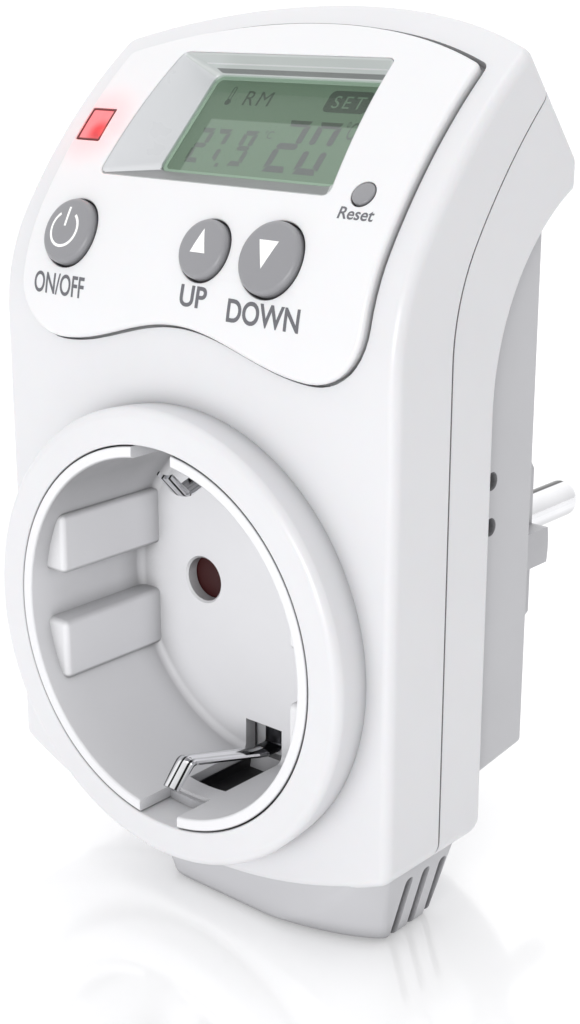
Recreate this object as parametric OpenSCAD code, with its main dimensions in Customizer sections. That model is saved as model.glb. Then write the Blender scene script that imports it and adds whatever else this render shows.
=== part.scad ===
// Plug-in thermostat: a mains plug behind, an earthed socket in front, and a
// head that leans back with a display, four buttons and a signal lamp.
// The front faces -Y, +X is to the viewer's right and +Z is up. The origin is
// on the surface the foot stands on, under the middle of the outline.
// Shapes are drawn from the socket's centre, at the front of its collar, and
// to_base() moves them to the origin.

/* [Body] */
// Width across the side walls
body_w = 56.2; // [55:0.1:60]
// Thickness of the housing walls
wall = 2; // [1.8:0.1:2.2]
// Depth of the flat lower face behind the collar's front
face_y = 4.8; // [4:0.1:5.5]
// Depth of the front cover's side wall
front_depth = 8.9; // [8.5:0.1:9.5]
// Depth of the flat back behind the collar's front
back_y = 21.9; // [21.5:0.1:23]
// Height of the socket's centre above the surface it stands on
socket_z = 31; // [30:0.1:34]
// Radius of the bottom edge, seen from the front
bottom_r = 61.5; // [55:0.5:80]
// Drop from the socket's centre to the lowest point of the bottom edge
bottom_drop = 27.8; // [27:0.1:29]

/* [Head] */
// Height over the socket's centre where the face starts to lean back
bend_z = 31.9; // [31:0.1:33]
// Radius of the bend below the keys
bend_r = 21; // [20:0.5:24]
// Lean at the end of that bend, in degrees
bend_angle = 33; // [30:1:35]
// Radius of the long curve above the bend
slope_r = 68; // [64:1:72]
// Lean of the top edge's cut, in degrees
cap_tilt = 49.7; // [48:0.1:51]
// Reach of the crest along that lean, from the socket's centre
cap_reach = 66.9; // [66:0.1:68]
// Radius of the top edge
cap_r = 55.6; // [54:0.1:58]
// Height over the socket's centre where the back starts to curve out
back_bend_z = 25.6; // [25:0.1:27]
// Radius of the curve at the back of the head
back_bend_r = 23.7; // [23:0.1:25]

/* [Socket] */
// Radius of the well
well_r = 20; // [19.8:0.05:20.2]
// Depth of the well
well_depth = 17.6; // [17.5:0.05:18]
// Outer radius of the raised collar
collar_r = 25.4; // [24.5:0.1:26]
// Distance between the two pin holes
pin_spacing = 19; // [19:0.1:19]
// Radius of each pin hole
hole_r = 2.65; // [2.5:0.05:2.8]

/* [Plug] */
// Height of the plug over the socket's centre
plug_z = 2.8; // [0:0.1:4]
// Radius of the round plug body
plug_r = 18.6; // [18:0.1:19]
// Depth of the plug's face behind the collar's front
plug_y = 48.3; // [48:0.1:50]
// Back of the square carrier block
block_y = 31; // [30.5:0.1:31.5]
// Width of the carrier block
block_w = 54; // [50:0.1:54.5]
// Radius of each contact pin
pin_r = 2.4; // [2.4:0.05:2.4]
// Length of each contact pin in front of the plug's face
pin_len = 19; // [18:0.1:19]

/* [Keypad] */
// Half the width of the raised keypad panel
panel_half = 24.3; // [24:0.1:24.6]
// How far the panel stands proud of the cover
panel_raise = 0.9; // [0.6:0.1:1.1]
// Key centres across the panel: power, up, down
key_x = [-17.8, 2.4, 11.4];
// Key cap radii: power, up, down
key_r = [3.85, 3.3, 4];
// Radius of the small reset key
reset_r = 1.3; // [1.2:0.05:1.6]

/* [Hidden] */
$fn = 96;
eps = 0.01;
gap = 0.15;
half_w = body_w / 2;
face_start = -60;
far = 200;
tip_y = plug_y + pin_len;

bend_len = bend_r * bend_angle * PI / 180;
key_s = 9.5;
display_s = 25.5;
wave_half = 18;

cap_drop = cap_r - sqrt(cap_r * cap_r - half_w * half_w);
end_y = 35.3;

insert_r = 21.3;
insert_end = well_depth + 1.6;
cover_bore_r = 21.5;
rib_face = 16.8;
rib_z = [2.9, 10];
rib_start = 2.4;
notch_end = 5.5;
slot_start = 7;
clip_w = 2.6;
clip_slot_w = 5.6;
vent_y = 23;
notch_w = 5.8;

block_top = 48;
block_low = -15.4;
block_low_back = -14.3;
block_wall = 2;
plug_hollow_r = 16.4;
flat_x = 16.2;
guide_half = 2.2;
guide_end = 10.8;
pin_neck_r = 2.2;
pin_head_r = 3.6;
pin_start = 39.6;

screw_x = 22.6;
screw_z = [-10, 28];
screw_r = 1.4;
screw_head_r = 2.7;
screw_tip_y = 8.5;
screw_head_y = 29.2;
boss_r = 2.6;
column_r = 3.1;

display_x = -1;
window_w = 24;
window_h = 14;
window_z = -3;
recess_low_w = 32.8;
recess_top_w = 29.8;
recess_h = 17.6;
lamp_x = -21.8;
lamp_y = -2.6;
reset_x = 19.4;
reset_y = -8.2;
reset_top = 0.5;
key_flange = 0.5;

carrier_y = 23.2;
carrier_end = 34;
sleeve_end = 37.5;
shutter_y = 19.35;
shutter_t = 1.25;
shutter_w = 6.2;
shutter_reach = 12.4;
pivot_r = 1.4;
pivot_end = 21.7;

board_t = 1.6;
power_board_y = 27.2;
display_board_z = -7;
key_board_z = -9;

foot_right_top = 26.8;
foot_right_low = 24.4;
foot_front = 5;
foot_back_top = 20.4;
foot_back_low = 17.9;
foot_y = 4.4;
foot_lean = 25;
foot_round_x = 14.8;
foot_round_r = 12;
foot_left_x = 0.8;
foot_left_r = 6;
foot_wall = 1.6;
slot_w = 1.3;
slot_pitch = 3;
sensor_x = 15;
sensor_z = -28;
lead_y = 15.4;
slot_first = 10.2;
slot_top = -22.6;

white = [0.96, 0.96, 0.97];
pale_grey = [0.88, 0.88, 0.9];
key_grey = [0.62, 0.62, 0.65];
steel = [0.8, 0.8, 0.82];
brass = [0.8, 0.65, 0.3];
board_green = [0.1, 0.4, 0.2];

// The face's line in a side view, measured by the length s along it. s is 0
// where the lean starts, and each point is [y, z]. inset moves it inwards.
function lean(s) =
    s < 0 ? 0 :
    s < bend_len ? s / bend_r * 180 / PI :
    bend_angle + (s - bend_len) / slope_r * 180 / PI;
function bend_point(a, inset) = [
    face_y + bend_r - (bend_r - inset) * cos(a),
    bend_z + (bend_r - inset) * sin(a)
];
slope_centre = [
    face_y + bend_r + (slope_r - bend_r) * cos(bend_angle),
    bend_z - (slope_r - bend_r) * sin(bend_angle)
];
function slope_point(a, inset) = slope_centre + (slope_r - inset) * [-cos(a), sin(a)];
function face(s, inset = 0) =
    s < 0 ? [face_y + inset, bend_z + s] :
    s < bend_len ? bend_point(lean(s), inset) :
    slope_point(lean(s), inset);

face_steps = concat([face_start, 0], [for (s = [1.5 : 1.5 : 54]) s]);

// The back's line in a side view: flat, then a quarter circle outwards.
function back_line(inset) = [
    for (a = [90 : -5 : 0])
        [back_y + back_bend_r - (back_bend_r + inset) * cos(a), back_bend_z + (back_bend_r + inset) * sin(a)]
];

module to_base() translate([0, -tip_y / 2, socket_z]) children();
module side_extrude(w) rotate([90, 0, 90]) translate([0, 0, -w / 2]) linear_extrude(w) children();
module along_y(y0, y1, r) translate([0, y0, 0]) rotate([-90, 0, 0]) cylinder(h = y1 - y0, r = r);
module on_face(x, s) translate([x, face(s)[0], face(s)[1]]) rotate([90 - lean(s), 0, 0]) children();
module on_display(x, y) on_face(x, display_s) translate([0, y, 0]) children();
module box(x, y, z) translate([x[0], y[0], z[0]]) cube([x[1] - x[0], y[1] - y[0], z[1] - z[0]]);
module both_sides() {
    children();
    mirror([1, 0, 0]) children();
}

// Round wire through a list of points, straight between them
module wire(points, r) {
    for (i = [0 : len(points) - 2]) {
        run = points[i + 1] - points[i];
        translate(points[i]) rotate([0, acos(run[2] / norm(run)), atan2(run[1], run[0])])
            cylinder(h = norm(run), r = r, $fn = 10);
    }
    for (i = [1 : len(points) - 2]) translate(points[i]) sphere(r = r, $fn = 10);
}

// The housing's whole shape, shrunk by inset on every side: a side view, cut by
// three rolls that curve the bottom edge, the top edge and the end of the head
module housing_shape(inset) {
    intersection() {
        side_extrude(body_w - 2 * inset) polygon(concat(
            [for (s = face_steps) face(s, inset)],
            [[far / 2, face(54)[1]], [far / 2, back_bend_z + back_bend_r + inset]],
            back_line(inset),
            [[back_y - inset, bend_z + face_start]]
        ));
        translate([0, -far / 2, bottom_r - bottom_drop]) along_y(0, far, bottom_r - inset);
        rotate([-cap_tilt, 0, 0]) translate([0, -far / 2, cap_reach - cap_r]) along_y(0, far, cap_r - inset);
        translate([0, end_y + cap_drop - cap_r, -far / 2]) cylinder(h = far, r = cap_r - inset);
    }
}

// Everything in front of the seam between the two covers
module front_zone() {
    side_extrude(far) polygon(concat(
        [[-far / 2, bend_z + face_start]],
        [for (s = face_steps) face(s) + [front_depth, 0]],
        [[-far / 2, face(54)[1]]]
    ));
}

// The keypad panel's outline, grown by g, as [x, s] points on the face
function panel_low(x) = 1.7 * cos(180 * x / wave_half);
corner_r = panel_half - wave_half;
function panel_points(g) = concat(
    [for (x = [-wave_half : 2 : wave_half]) [x, panel_low(x) - g]],
    [for (a = [15 : 15 : 90])
        [wave_half + (corner_r + g) * sin(a), corner_r - 1.7 - (corner_r + g) * cos(a)]],
    [for (x = [panel_half + g : -(panel_half + g) / 8 : -panel_half - g]) [x, panel_top(x) + g]],
    [for (a = [90 : -15 : 15])
        [-wave_half - (corner_r + g) * sin(a), corner_r - 1.7 - (corner_r + g) * cos(a)]]
);
panel_crest = 39.8;
panel_top_r = 53.4;
function panel_top(x) = panel_crest - panel_top_r + sqrt(panel_top_r * panel_top_r - x * x);

// The outline is cut straight through, square to the face at its middle
panel_lean = 33;
function on_plane(s) = face(s)[0] * sin(panel_lean) + face(s)[1] * cos(panel_lean);
module panel_prism(g) {
    rotate([90 - panel_lean, 0, 0]) translate([0, 0, -far / 2]) linear_extrude(far)
        polygon([for (p = panel_points(g)) [p[0], on_plane(p[1])]]);
}

// A band that follows the face, between two insets
module face_band(outer, inner) {
    side_extrude(far) polygon(concat(
        [for (s = face_steps) face(s, outer)],
        [for (i = [len(face_steps) - 1 : -1 : 0]) face(face_steps[i], inner)]
    ));
}

module recess_outline(g) {
    polygon([
        [-recess_low_w / 2 - g, -recess_h / 2 - g], [recess_low_w / 2 + g, -recess_h / 2 - g],
        [recess_top_w / 2 + g, recess_h / 2 + g], [-recess_top_w / 2 - g, recess_h / 2 + g]
    ]);
}

// Openings through the panel and the cover, each wider than what passes by g
module face_openings(g) {
    for (i = [0 : 2]) on_face(key_x[i], key_s) translate([0, 0, -8]) cylinder(h = 16, r = key_r[i] + g);
    on_display(reset_x, reset_y) translate([0, 0, -8]) cylinder(h = 16, r = reset_r + g);
    on_display(display_x, 0) translate([0, 0, -8]) linear_extrude(16) recess_outline(g);
    on_display(lamp_x, lamp_y) translate([-1.8 - g, -2.2 - g, -8]) cube([3.6 + 2 * g, 4.4 + 2 * g, 16]);
}

module screw_spots() both_sides() for (z = screw_z) translate([screw_x, 0, z]) children();

module front_cover() color(white) to_base() {
    difference() {
        intersection() {
            housing_shape(0);
            front_zone();
        }
        housing_shape(wall);
        along_y(0, face_y + wall + 1, cover_bore_r);
        intersection() {
            panel_prism(gap);
            face_band(-2, panel_raise + 0.1);
        }
        face_openings(0.35);
    }
    difference() {
        screw_spots() along_y(face_y + wall - eps, face_y + front_depth - gap, boss_r);
        screw_spots() along_y(screw_tip_y - 0.3, back_y, screw_r + 0.1);
    }
}

module rear_cover() color(white) to_base() {
    difference() {
        union() {
            difference() {
                intersection() {
                    housing_shape(0);
                    difference() {
                        box([-half_w + 0.25, half_w - 0.25], [0, far / 2], [-far / 2, far / 2]);
                        translate([0, gap, 0]) front_zone();
                    }
                }
                housing_shape(wall);
                box([-19.2, 19.2], [back_y - wall - 1, back_y + 20], [-13.2, 38]);
                box([-4, 4], [back_y - wall - 1, block_y + 1], [37, 43.3]);
            }
            screw_spots() along_y(face_y + front_depth + gap, back_y - 1, column_r);
        }
        screw_spots() along_y(0, far / 4, screw_r + 0.2);
        translate([sensor_x, lead_y, -30]) cylinder(h = 10, r = 1.3);
    }
}

module block_shape(inset) {
    side_extrude(block_w - 2 * inset) polygon([
        [back_y - 3, block_low - 0.4 + inset], [block_y - inset, block_low_back + inset],
        [block_y - inset, block_top], [back_y - 3, block_top]
    ]);
}

module plug_housing() color(pale_grey) to_base() {
    difference() {
        union() {
            difference() {
                block_shape(0);
                block_shape(block_wall);
            }
            screw_spots() along_y(back_y - 1, block_y - 1, column_r + 0.3);
        }
        housing_shape(-0.05);
        screw_spots() along_y(0, far / 4, screw_r + 0.2);
        screw_spots() along_y(screw_head_y - gap, far / 4, screw_head_r + gap);
        translate([0, 0, plug_z]) along_y(block_y - 4, block_y + 1, plug_hollow_r);
        for (z = [13, 18]) translate([-far / 2, vent_y, z]) rotate([0, 90, 0]) cylinder(h = far, r = 1);
    }
}

module plug_body() color(pale_grey) to_base() translate([0, 0, plug_z]) {
    difference() {
        along_y(block_y + 0.02, plug_y, plug_r);
        intersection() {
            along_y(block_y - 1, plug_y - 2.4, plug_hollow_r);
            box([-14.4, 14.4], [0, plug_y], [-20, 20]);
        }
        for (side = [0, 1], end = [0, 1]) mirror([side, 0, 0]) mirror([0, 0, end])
            box([flat_x, 20], [block_y + 2.5, plug_y + 1], [guide_half, guide_end]);
        for (side = [0, 1]) mirror([0, 0, side]) {
            box([-3.4, 3.4], [block_y + 1.5, plug_y - 2], [plug_r - 1.1, 20]);
            box([-3.3, 3.3], [37.7, 38.9], [10, 20]);
        }
        both_sides() translate([pin_spacing / 2, 0, 0]) along_y(plug_y - 3, plug_y + 1, pin_r + 0.05);
    }
}

module pin_shape() {
    rotate([-90, 0, 0]) rotate_extrude() polygon(concat(
        [[0, pin_start], [pin_neck_r, pin_start], [pin_neck_r, 43.2], [pin_head_r, 43.2]],
        [[pin_head_r, plug_y - 2.45], [pin_neck_r, plug_y - 2.45], [pin_neck_r, plug_y + 0.1]],
        [[pin_r, plug_y + 0.1]],
        [for (a = [0 : 10 : 90]) [pin_r * cos(a), tip_y - 1.8 + 1.8 * sin(a)]]
    ));
}
module line_pin() color(steel) to_base() translate([-pin_spacing / 2, 0, plug_z]) pin_shape();
module neutral_pin() color(steel) to_base() translate([pin_spacing / 2, 0, plug_z]) pin_shape();

module plug_earth_strap() color(steel) to_base() translate([0, 0, plug_z]) {
    box([-3, 3], [38, 38.6], [-plug_r + 0.3, plug_r - 0.3]);
    for (side = [0, 1]) mirror([0, 0, side]) box([-3, 3], [33.2, plug_y - 3], [plug_r - 0.9, plug_r - 0.3]);
}

// Plan of the foot, leaning forward: a wide round corner at the right and a tighter one at the left.
module foot_plan(inset) {
    translate([0, foot_y, -socket_z]) rotate([foot_lean, 0, 0]) translate([0, 0, -far / 2]) {
        translate([foot_round_x, foot_round_r, 0]) cylinder(h = far, r = foot_round_r - inset);
        translate([foot_left_x, foot_left_r, 0]) cylinder(h = far, r = foot_left_r - inset);
        box([foot_left_x, foot_round_x], [inset, far / 2], [0, far]);
        box([foot_left_x - foot_left_r + inset, foot_left_x + 1], [foot_left_r, far / 2], [0, far]);
        box([foot_round_x - 1, foot_round_x + foot_round_r - inset], [foot_round_r, far / 2], [0, far]);
    }
}

// The foot's outside, or its inside if shrunk by inset.
module foot_shape(inset) {
    intersection() {
        side_extrude(far) polygon([
            [foot_front + inset, -20], [foot_front + inset, -socket_z + inset],
            [foot_back_low - inset, -socket_z + inset], [foot_back_top - inset, -20]
        ]);
        foot_plan(inset);
        translate([0, far / 4, 0]) rotate([90, 0, 0]) linear_extrude(far / 2) polygon([
            [-foot_right_top, -20], [-foot_right_top, -socket_z + inset],
            [foot_right_low - inset, -socket_z + inset], [foot_right_top - inset, -20]
        ]);
    }
}

module sensor_foot() color(pale_grey) to_base() {
    difference() {
        foot_shape(0);
        foot_shape(foot_wall);
        housing_shape(-0.05);
        for (x = [[21, 30], [-8, -2.5]], i = [0 : 2])
            box(x, [slot_first + i * slot_pitch, slot_first + i * slot_pitch + slot_w],
                [-socket_z - 1, slot_top]);
    }
}

module case_screws() color(steel) to_base() screw_spots() {
    difference() {
        union() {
            along_y(screw_tip_y, screw_head_y + 0.5, screw_r);
            along_y(screw_head_y, screw_head_y + 1.6, screw_head_r);
        }
        box([-2, 2], [screw_head_y + 0.8, screw_head_y + 2], [-0.4, 0.4]);
        box([-0.4, 0.4], [screw_head_y + 0.8, screw_head_y + 2], [-2, 2]);
    }
}

module keypad_panel() color(white) to_base() {
    difference() {
        intersection() {
            panel_prism(0);
            face_band(-panel_raise, panel_raise);
        }
        face_openings(gap);
    }
}

module display_bezel() color([0.6, 0.66, 0.64]) to_base() {
    difference() {
        intersection() {
            on_display(display_x, 0) translate([0, 0, window_z - 1.2]) linear_extrude(6) recess_outline(0);
            face_band(-panel_raise, 8);
        }
        on_display(display_x, 0) {
            hull() {
                translate([-window_w / 2, -recess_h / 2 + 3.4, window_z]) cube([window_w, window_h, 0.01]);
                translate([0, 0, 1.2]) linear_extrude(0.01) recess_outline(-0.25);
            }
            translate([-window_w / 2, -recess_h / 2 + 3.4, window_z - 2]) cube([window_w, window_h, 2.1]);
        }
    }
}

module in_window() on_display(display_x, -recess_h / 2 + 3.4 + window_h / 2) children();
module display_window() color([0.75, 0.85, 0.78, 0.5]) to_base() in_window()
    translate([-window_w / 2 + 0.1, -window_h / 2 + 0.1, window_z - 1])
        cube([window_w - 0.2, window_h - 0.2, 0.95]);
module lcd_module() color([0.45, 0.6, 0.45]) to_base() in_window()
    translate([-window_w / 2 - 1.5, -window_h / 2 - 1.5, window_z - 3.4])
        cube([window_w + 3, window_h + 3, 2.1]);

module lamp_window() color([0.9, 0.15, 0.12]) to_base() on_display(lamp_x, lamp_y)
    translate([-1.8, -2.2, -4]) cube([3.6, 4.4, 4.95]);
module signal_lamp() color([1, 0.3, 0.25]) to_base() on_display(lamp_x, lamp_y) {
    translate([0, 0, display_board_z]) cylinder(h = 1.6, r = 1.5);
    translate([0, 0, display_board_z + 1.5]) cylinder(h = 1.3, r = 1.2);
}

// A domed key cap with a retaining flange and its stem
module key_cap(r) {
    rotate_extrude() polygon(concat(
        [[0, -6.4], [1.2, -6.4], [1.2, -3.6], [r + key_flange, -3.6]],
        [[r + key_flange, -2.95], [r, -2.95], [r, 1.1]],
        [for (a = [15 : 15 : 90]) [r - 0.6 + 0.6 * cos(a), 1.1 + 0.6 * sin(a)]],
        [[0, 1.85]]
    ));
}
module power_button() color(key_grey) to_base() on_face(key_x[0], key_s) key_cap(key_r[0]);
module up_button() color(key_grey) to_base() on_face(key_x[1], key_s) key_cap(key_r[1]);
module down_button() color(key_grey) to_base() on_face(key_x[2], key_s) key_cap(key_r[2]);
module reset_button() color(key_grey) to_base() on_display(reset_x, reset_y) {
    translate([0, 0, -3.6]) cylinder(h = 3.6 + reset_top, r = reset_r);
    translate([0, 0, -4]) cylinder(h = 0.7, r = reset_r + 0.8);
    translate([0, 0, -5.5]) cylinder(h = 2, r = 0.9);
}

module switch_body(z, h, bore_r, bore_depth) {
    difference() {
        translate([-3, -3, z]) cube([6, 6, h]);
        translate([0, 0, z + h - bore_depth]) cylinder(h = bore_depth + 1, r = bore_r);
    }
}
module key_switches() color([0.15, 0.15, 0.17]) to_base() {
    for (x = key_x) on_face(x, key_s) switch_body(key_board_z, 3.8, 1.3, 2.6);
    on_display(reset_x, reset_y) switch_body(display_board_z, 1.9, 1, 1.5);
}

module key_board() color(board_green) to_base() on_face(0, key_s)
    translate([-21.4, -5, key_board_z - board_t]) cube([37.8, 8.2, board_t]);
module display_board() color(board_green) to_base() on_display(0, 0) {
    translate([-23.5, -9, display_board_z - board_t]) cube([47, 20, board_t]);
    translate([17, -11.6, display_board_z - board_t]) cube([6.5, 3, board_t]);
}
module power_board() color(board_green) to_base()
    box([-18.6, 18.6], [power_board_y, power_board_y + board_t], [21, 40]);
module controller_chip() color([0.1, 0.1, 0.1]) to_base() on_display(-9, 2)
    translate([-5, -5, display_board_z - board_t - 1.5]) cube([10, 10, 1.45]);
module backup_cell() color(steel) to_base() on_display(10.8, 1)
    translate([0, 0, display_board_z - board_t - 2.1]) cylinder(h = 2.05, r = 6);

// The flat cable leaves the power board upwards and turns to the display board
module ribbon_cable() color([0.75, 0.75, 0.78]) to_base() side_extrude(7) polygon([
    [27.5, 40.05], [28.1, 40.05], [28.1, 40.9], [23, 47.7], [22.55, 47.25], [27.5, 40.7]
]);

module relay() color([0.15, 0.3, 0.6]) to_base() box([-9, 9], [18.6, power_board_y - 0.05], [23, 37.4]);
module film_capacitor() color([0.85, 0.75, 0.2]) to_base()
    box([10.4, 18], [20.2, power_board_y - 0.05], [23, 36]);
module storage_capacitor() color([0.1, 0.1, 0.15]) to_base()
    translate([-13.8, 0, 31.6]) along_y(18, power_board_y - 0.05, 4);
module fuse() color([0.9, 0.9, 0.85]) to_base()
    translate([-17.5, 25.2, 24.2]) rotate([0, 90, 0]) cylinder(h = 8, r = 1.6);

module socket_collar() color(white) to_base() rotate([-90, 0, 0]) rotate_extrude() polygon(concat(
    [[cover_bore_r - 0.05, 0.35], [cover_bore_r + 0.3, 0]],
    [for (a = [90 : -15 : 0]) [collar_r - 0.8 + 0.8 * cos(a), 0.8 - 0.8 * sin(a)]],
    [[collar_r - 0.3, face_y - 0.02], [cover_bore_r - 0.05, face_y - 0.02]]
));

// Room for the earth clip: a notch in the rim and a slot at the floor, above and below
module clip_room() for (end = [0, 1]) mirror([0, 0, end]) {
    box([-notch_w / 2, notch_w / 2], [-1, notch_end], [well_r - 0.5, insert_r + 1]);
    box([-clip_slot_w / 2, clip_slot_w / 2], [slot_start, insert_end + 1], [15.8, insert_r + 1]);
}

// The insert is one moulding of three parts: the round wall, the floor and the guide ribs
module socket_well() color(pale_grey) to_base() {
    difference() {
        union() {
            along_y(0.05, well_depth, insert_r);
            along_y(face_y + wall + gap, face_y + wall + 1.6, insert_r + 0.7);
        }
        along_y(-1, well_depth + 1, well_r);
        clip_room();
    }
}
module socket_floor() color(pale_grey) to_base() {
    difference() {
        union() {
            along_y(well_depth, insert_end, insert_r);
            along_y(insert_end - eps, pivot_end, pivot_r);
        }
        both_sides() translate([pin_spacing / 2, 0, 0]) along_y(0, insert_end + 1, hole_r);
        clip_room();
    }
}
module guide_ribs() color(pale_grey) to_base() {
    intersection() {
        along_y(rib_start, well_depth, well_r);
        both_sides() for (end = [0, 1]) mirror([0, 0, end])
            box([rib_face, 22], [rib_start, well_depth], rib_z);
    }
}

// The earth clip in a side view: a spring tongue comes in at the floor, leans towards the axis
// and folds back at its tip. Behind the floor the strip steps back past the shutter.
clip_t = 0.6;
tongue_line = [[19.3, 18.9], [16.8, 18.7], [5, 15.4], [4, 15.6], [2, 17.9]];
tongue_back = [[2.45, 18.3], [4.3, 16.25], [5, 16.05], [16.7, 19.35], [19.3, 19.5]];
module socket_earth_clip() color(steel) to_base() {
    for (end = [0, 1]) mirror([0, 0, end]) {
        side_extrude(clip_w) polygon(concat(tongue_line, tongue_back));
        box([-clip_w / 2, clip_w / 2], [19.25, 19.25 + clip_t], [12.55, 19.5]);
        box([-clip_w / 2, clip_w / 2], [19.25, 22.2 + clip_t], [12.5, 12.5 + clip_t]);
    }
    box([-clip_w / 2, clip_w / 2], [22.2, 22.2 + clip_t], [-12.6, 12.6]);
}

// A bar that covers both pin holes and turns on the insert's central post
module shutter() color([0.5, 0.08, 0.08]) to_base() {
    difference() {
        intersection() {
            box([-shutter_reach, shutter_reach], [shutter_y, shutter_y + shutter_t],
                [-shutter_w / 2, shutter_w / 2]);
            along_y(0, far / 2, shutter_reach);
        }
        along_y(0, far / 2, pivot_r + 0.05);
    }
}
module shutter_spring() color(steel) to_base() for (y = [20.95, 21.45])
    translate([0, y, 0]) rotate([-90, 0, 0]) rotate_extrude() translate([1.75, 0]) circle(r = 0.22, $fn = 24);

module contact_carrier() color([0.3, 0.3, 0.32]) to_base() {
    difference() {
        union() {
            both_sides() translate([pin_spacing / 2, 0, 0]) along_y(carrier_y, carrier_end, 4.5);
            box([-pin_spacing / 2, pin_spacing / 2], [carrier_y, carrier_y + 3], [-3.6, 3.6]);
        }
        both_sides() translate([pin_spacing / 2, 0, 0]) along_y(0, far / 2, 3.25);
    }
}
module sleeve_shape() {
    difference() {
        along_y(carrier_y - 0.8, sleeve_end, 3.2);
        along_y(0, sleeve_end - 0.8, 2.45);
        box([-0.3, 0.3], [0, sleeve_end - 4], [0, 4]);
    }
}
module line_sleeve() color(brass) to_base() translate([-pin_spacing / 2, 0, 0]) sleeve_shape();
module neutral_sleeve() color(brass) to_base() translate([pin_spacing / 2, 0, 0]) sleeve_shape();
module earth_link() color(brass) to_base() box([-2, 2], [22.85, 37.95], [5, 5.7]);
module neutral_link() color(brass) to_base() box([8, 11], [sleeve_end + 0.02, 39.55], [-2.6, 4.6]);

module line_wires() color([0.45, 0.25, 0.12]) to_base() {
    wire([[-9.5, 38.5, 2.8], [-9.5, 38.3, 9], [-9.5, 33, 12.4], [-8, 25.8, 14], [-8, 26.2, 21.6]], 0.9);
    wire([[-9.5, 38.5, -1.6], [-9.5, 38.4, -5.5], [-10.5, 34, -6.6], [-11, 28, -6.5], [-15.5, 26, -2],
          [-16, 26.2, 21.6]], 0.9);
}

module temperature_sensor() color([0.1, 0.1, 0.12]) to_base() translate([sensor_x, 11, sensor_z]) {
    sphere(r = 1.2);
    translate([0, 0.6, 0]) rotate([-90, 0, 0]) cylinder(h = 2, r = 0.8);
}
module sensor_lead() color([0.2, 0.2, 0.22]) to_base()
    wire([
        [sensor_x, 13.65, sensor_z], [sensor_x, 14.6, sensor_z], [sensor_x, lead_y, -27.3],
        [sensor_x, lead_y, -22.6], [18.4, 18.9, -12.8], [18.2, 21.5, -9.5], [17.6, 24.8, -7.5],
        [17.4, 26.4, 21.6]
    ], 0.7);

front_cover();
rear_cover();
plug_housing();
plug_body();
sensor_foot();
case_screws();
keypad_panel();
display_bezel();
display_window();
lcd_module();
lamp_window();
signal_lamp();
power_button();
up_button();
down_button();
reset_button();
key_switches();
key_board();
display_board();
power_board();
controller_chip();
backup_cell();
ribbon_cable();
relay();
film_capacitor();
storage_capacitor();
fuse();
socket_collar();
socket_well();
socket_floor();
guide_ribs();
socket_earth_clip();
shutter();
shutter_spring();
contact_carrier();
line_sleeve();
neutral_sleeve();
earth_link();
neutral_link();
line_wires();
line_pin();
neutral_pin();
plug_earth_strap();
temperature_sensor();
sensor_lead();
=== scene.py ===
"""Looks for the plug-in thermostat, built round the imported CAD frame.

Lengths are in millimetres, measured from the socket's centre at the front of its collar, with +X to the
viewer's right, +Y to the back and +Z up. place() turns them into the frame's metres. s is the length along
the leaning face.
"""

import math

import bmesh
import bpy
from mathutils import Matrix, Vector


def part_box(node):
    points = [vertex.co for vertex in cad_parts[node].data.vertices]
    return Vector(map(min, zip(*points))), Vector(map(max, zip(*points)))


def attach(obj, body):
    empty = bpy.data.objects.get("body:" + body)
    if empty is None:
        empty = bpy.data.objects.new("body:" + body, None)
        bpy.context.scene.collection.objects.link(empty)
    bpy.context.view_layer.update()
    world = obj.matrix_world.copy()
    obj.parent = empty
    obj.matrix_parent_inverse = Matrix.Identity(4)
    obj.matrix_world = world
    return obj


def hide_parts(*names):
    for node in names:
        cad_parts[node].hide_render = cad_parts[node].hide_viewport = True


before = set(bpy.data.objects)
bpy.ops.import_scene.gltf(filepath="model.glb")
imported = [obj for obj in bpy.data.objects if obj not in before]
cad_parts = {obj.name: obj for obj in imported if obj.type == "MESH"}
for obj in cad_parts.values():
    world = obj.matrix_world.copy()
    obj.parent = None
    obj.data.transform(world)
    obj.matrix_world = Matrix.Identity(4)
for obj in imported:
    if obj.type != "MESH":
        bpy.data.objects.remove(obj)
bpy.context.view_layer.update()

# ---------------- the part's own measures

FACE_Y, FRONT_DEPTH, BACK_Y, BLOCK_Y = 4.8, 8.9, 21.9, 31.0
HALF_W, WALL = 28.1, 2.0
BOTTOM_R, BOTTOM_DROP = 61.5, 27.8
BEND_Z, BEND_R, BEND_ANGLE, SLOPE_R = 31.9, 21.0, 33.0, 68.0
CAP_TILT, CAP_REACH, CAP_R = 49.7, 66.9, 55.6
BACK_BEND_Z, BACK_BEND_R = 25.6, 23.7
HEAD_END_Y = 35.3
BEND_LEN = BEND_R * math.radians(BEND_ANGLE)
PANEL_HALF, PANEL_RAISE, PANEL_TOP, PANEL_TOP_R = 24.3, 0.9, 39.8, 53.4
WAVE_HALF, WAVE_RISE = 18.0, 1.7
KEY_X, KEY_R, KEY_S = (-17.8, 2.4, 11.4), (3.72, 3.2, 3.86), 9.6
KEY_ROOM, KEY_EDGE, KEY_TOP, KEY_DOME = 0.35, 0.6, 1.6, 0.14
DISPLAY_S = 25.5
RESET_X, RESET_Y, RESET_R = 19.4, -8.2, 1.3
INK = 0.012
LAMP_X, LAMP_S, LAMP_EDGES = -21.8, 22.9, (-23.75, -20.0, 20.7, 25.1)
WELL_R, WELL_DEPTH, COLLAR_R, BORE_R = 20.0, 17.6, 25.4, 21.5
PIN_X, HOLE_R = 9.5, 2.65
FOOT_Z, FOOT_TOP_Z, FOOT_LEAN = -31.0, -20, math.radians(25)

collar_lo, collar_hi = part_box("socket_collar")
ORIGIN = Vector(((collar_lo[0] + collar_hi[0]) / 2, collar_lo[1], (collar_lo[2] + collar_hi[2]) / 2))


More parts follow.
